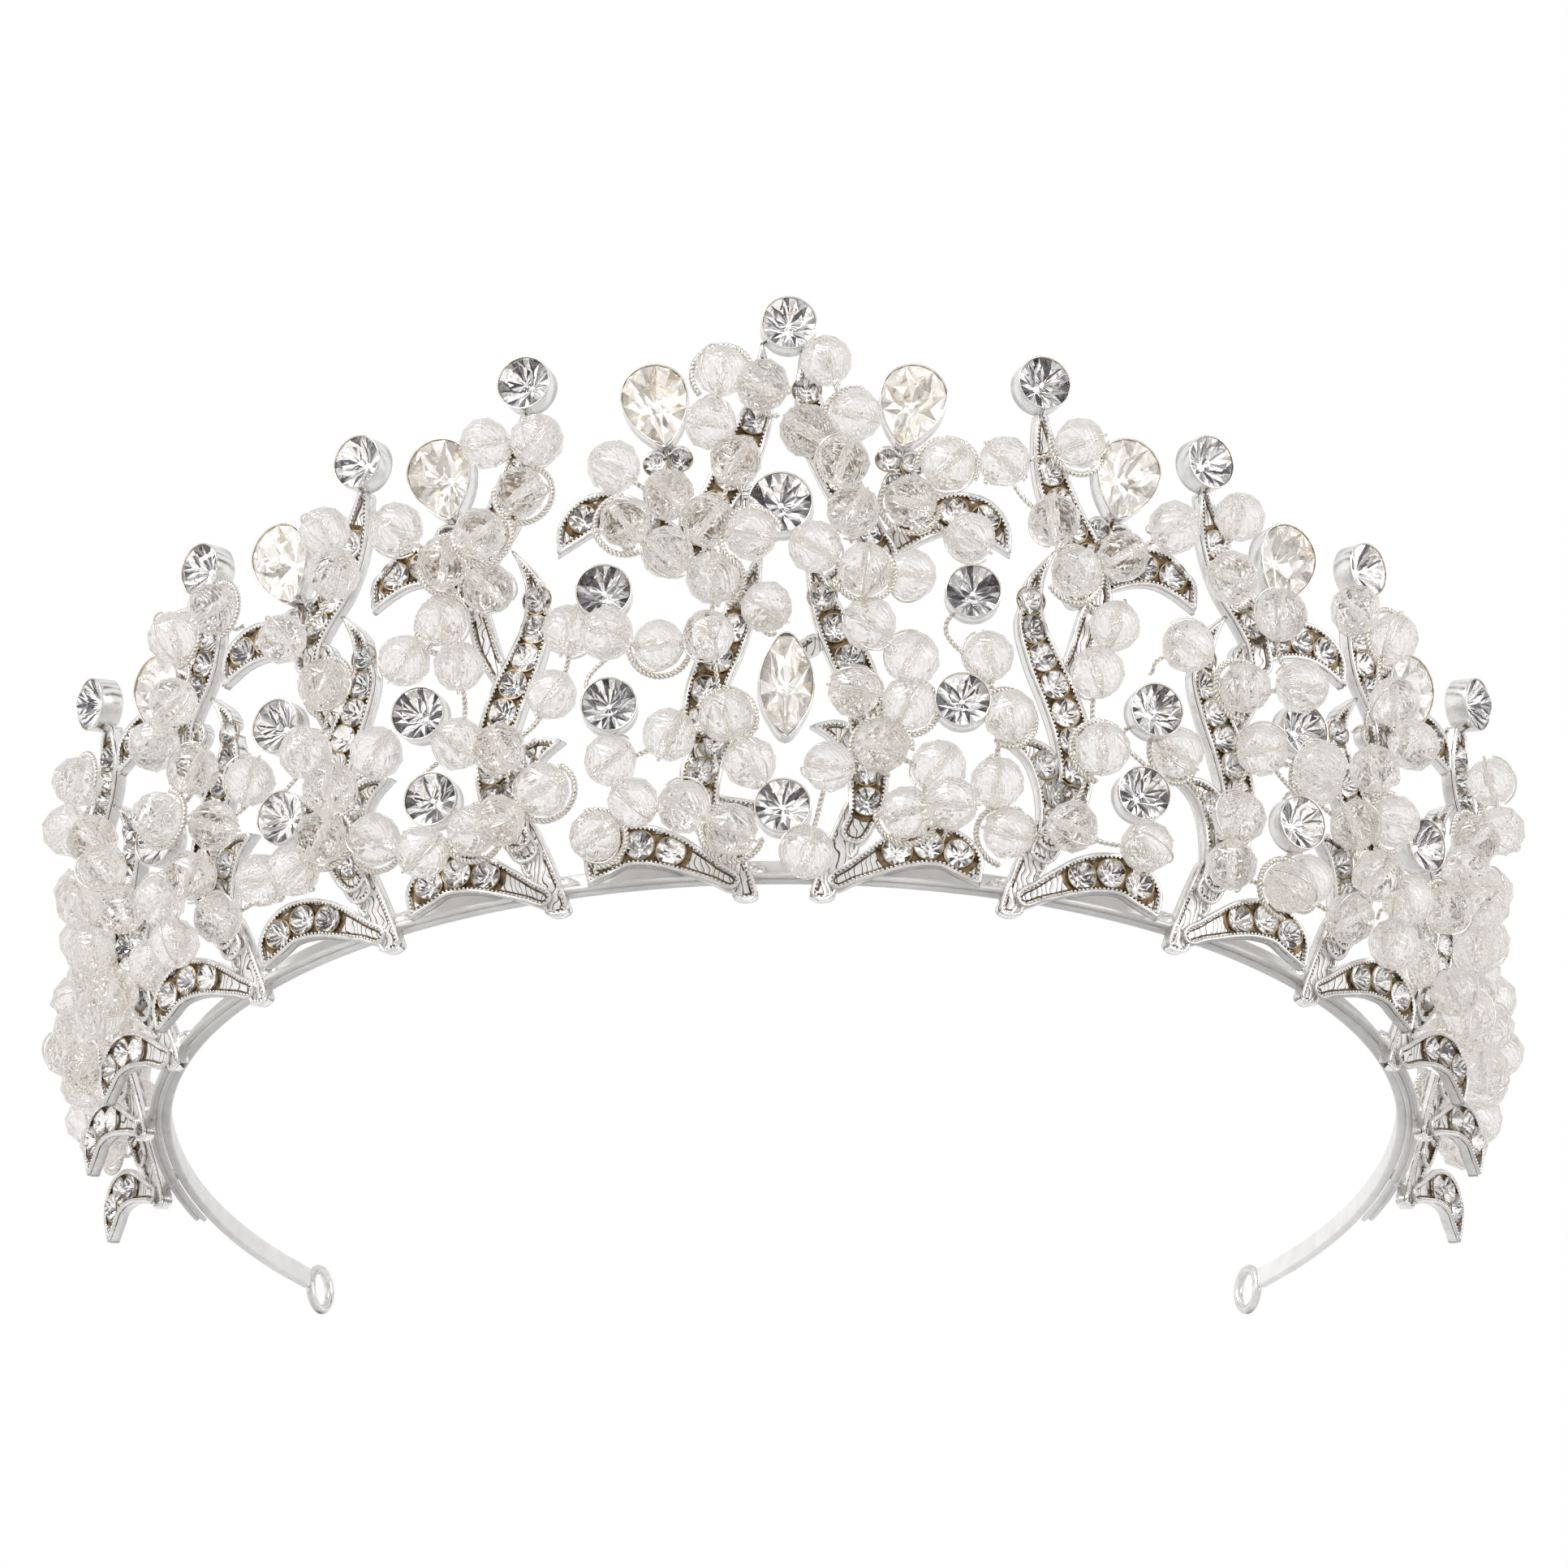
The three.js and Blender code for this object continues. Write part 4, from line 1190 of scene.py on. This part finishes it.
def headband():
    """The strip, smooth along its curve and rounded along its edges, with the ridged rail that
    the sprays are soldered to."""
    points, _ = node_mesh("headband")
    low, high = points[:, 2].min(), points[:, 2].max()
    centre, thick = strip_curve(points[points[:, 2] < low + 0.01][:, :2])
    line = curve_through(centre, 8)
    ahead = unit(np.gradient(line, axis=0))
    out = np.stack([ahead[:, 1], -ahead[:, 0]], 1)
    build = Build("satin")
    section = rounded_section(thick, low, high)
    rings = np.concatenate([
        np.column_stack([line + out * across, np.full(len(line), z)])[:, None]
        for across, z in section
    ], 1)
    count = len(section)
    build.add(rings, ring_faces(len(line), count), "satin")
    build.add(rings[0], [list(range(count))], "satin", smooth=False)
    build.add(rings[-1], [list(range(count))[::-1]], "satin", smooth=False)
    # The rail: three ridges along the outside, as far as the sprays reach.
    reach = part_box("spray_right_6")[1].y / MM
    railed = line[:, 1] < reach - 6
    for across, z in ((0.85, low - 0.1), (1.35, low + 0.25), (1.85, low + 0.1)):
        ridge = line[railed] + out[railed] * across
        tube(build, np.column_stack([ridge, np.full(len(ridge), z)]), 0.3, "satin", sides=7)
    build.finish("band_strip", lambda p: p, "headband")


def strip_curve(bottom):
    """The middle line and thickness of the strip, from the corners of its lower edge: each corner
    is paired with the nearest one, across the strip, from one end round to the other."""
    middle = np.array([0, bottom[:, 1].mean()])
    angle = np.arctan2(bottom[:, 0] - middle[0], -(bottom[:, 1] - middle[1]))
    bottom = bottom[np.argsort(angle)]
    centre, thick = [], []
    used = np.zeros(len(bottom), bool)
    for i in range(len(bottom)):
        if used[i]:
            continue
        gaps = np.linalg.norm(bottom - bottom[i], axis=1)
        gaps[used] = np.inf
        gaps[i] = np.inf
        j = int(np.argmin(gaps))
        used[i] = used[j] = True
        centre.append((bottom[i] + bottom[j]) / 2)
        thick.append(np.linalg.norm(bottom[i] - bottom[j]))
    return np.array(centre), np.mean(thick)


def curve_through(points, steps):
    """A smooth open line through points."""
    tangents = np.gradient(points, axis=0)
    line = []
    for i in range(len(points) - 1):
        for k in range(steps):
            line.append(hermite(k / steps, points[i], tangents[i], points[i + 1], tangents[i + 1]))
    line.append(points[-1])
    return np.array(line)


def rounded_section(thick, low, high):
    """The strip's cross-section, out and up, with its corners rounded."""
    half = thick / 2
    bend = 0.35
    section = []
    for x, z, start in ((half, high, 0), (-half, high, 90), (-half, low, 180), (half, low, 270)):
        for step in range(5):
            turn = math.radians(start + step * 22.5)
            section.append((x - math.copysign(bend, x) + bend * math.cos(turn),
                            z - math.copysign(bend, z - (low + high) / 2) + bend * math.sin(turn)))
    return section


def end_loop(name):
    """A closed loop of round wire at the end of the band."""
    points, faces = node_mesh(name)
    plane = Plane(points, faces)
    flat = plane.local(points)
    thick = np.ptp(flat[:, 2])
    middle = (flat.min(0) + flat.max(0)) / 2
    half = (flat.max(0) - flat.min(0)) / 2 - thick / 2
    turn = np.linspace(0, 2 * math.pi, 49)[:-1]
    ring = np.stack([middle[0] + half[0] * np.cos(turn), middle[1] + half[1] * np.sin(turn),
                     np.full(48, middle[2])], 1)
    build = Build("silver")
    tube(build, ring, thick / 2, "silver", sides=12, closed=True)
    inner = middle[0] - math.copysign(half[0], 1) * np.sign(plane.world(flat)[:, 0].mean())
    balls(build, [(inner, middle[1], middle[2])], thick * 0.62, "silver")
    build.finish("loop_" + name, plane.world, name)


# --- Assembly --------------------------------------------------------------------------------

camera()
floor()
studio()
lights()
headband()
end_loop("end_loop_right")
end_loop("end_loop_left")
for side in ("right", "left"):
    for unit_number in range(7):
        label = f"{side}_{unit_number}"
        plane = casting(f"spray_{label}")
        sprig(f"sprig_{label}", plane)
for label in sorted(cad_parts):
    if label.startswith("wire_stones"):
        wire_stones(label)
    elif label.startswith(("spike_stone", "round_stone")):
        cup_stone(label, 24)
    elif label.startswith(("teardrop", "navette")):
        cup_stone(label, 16)
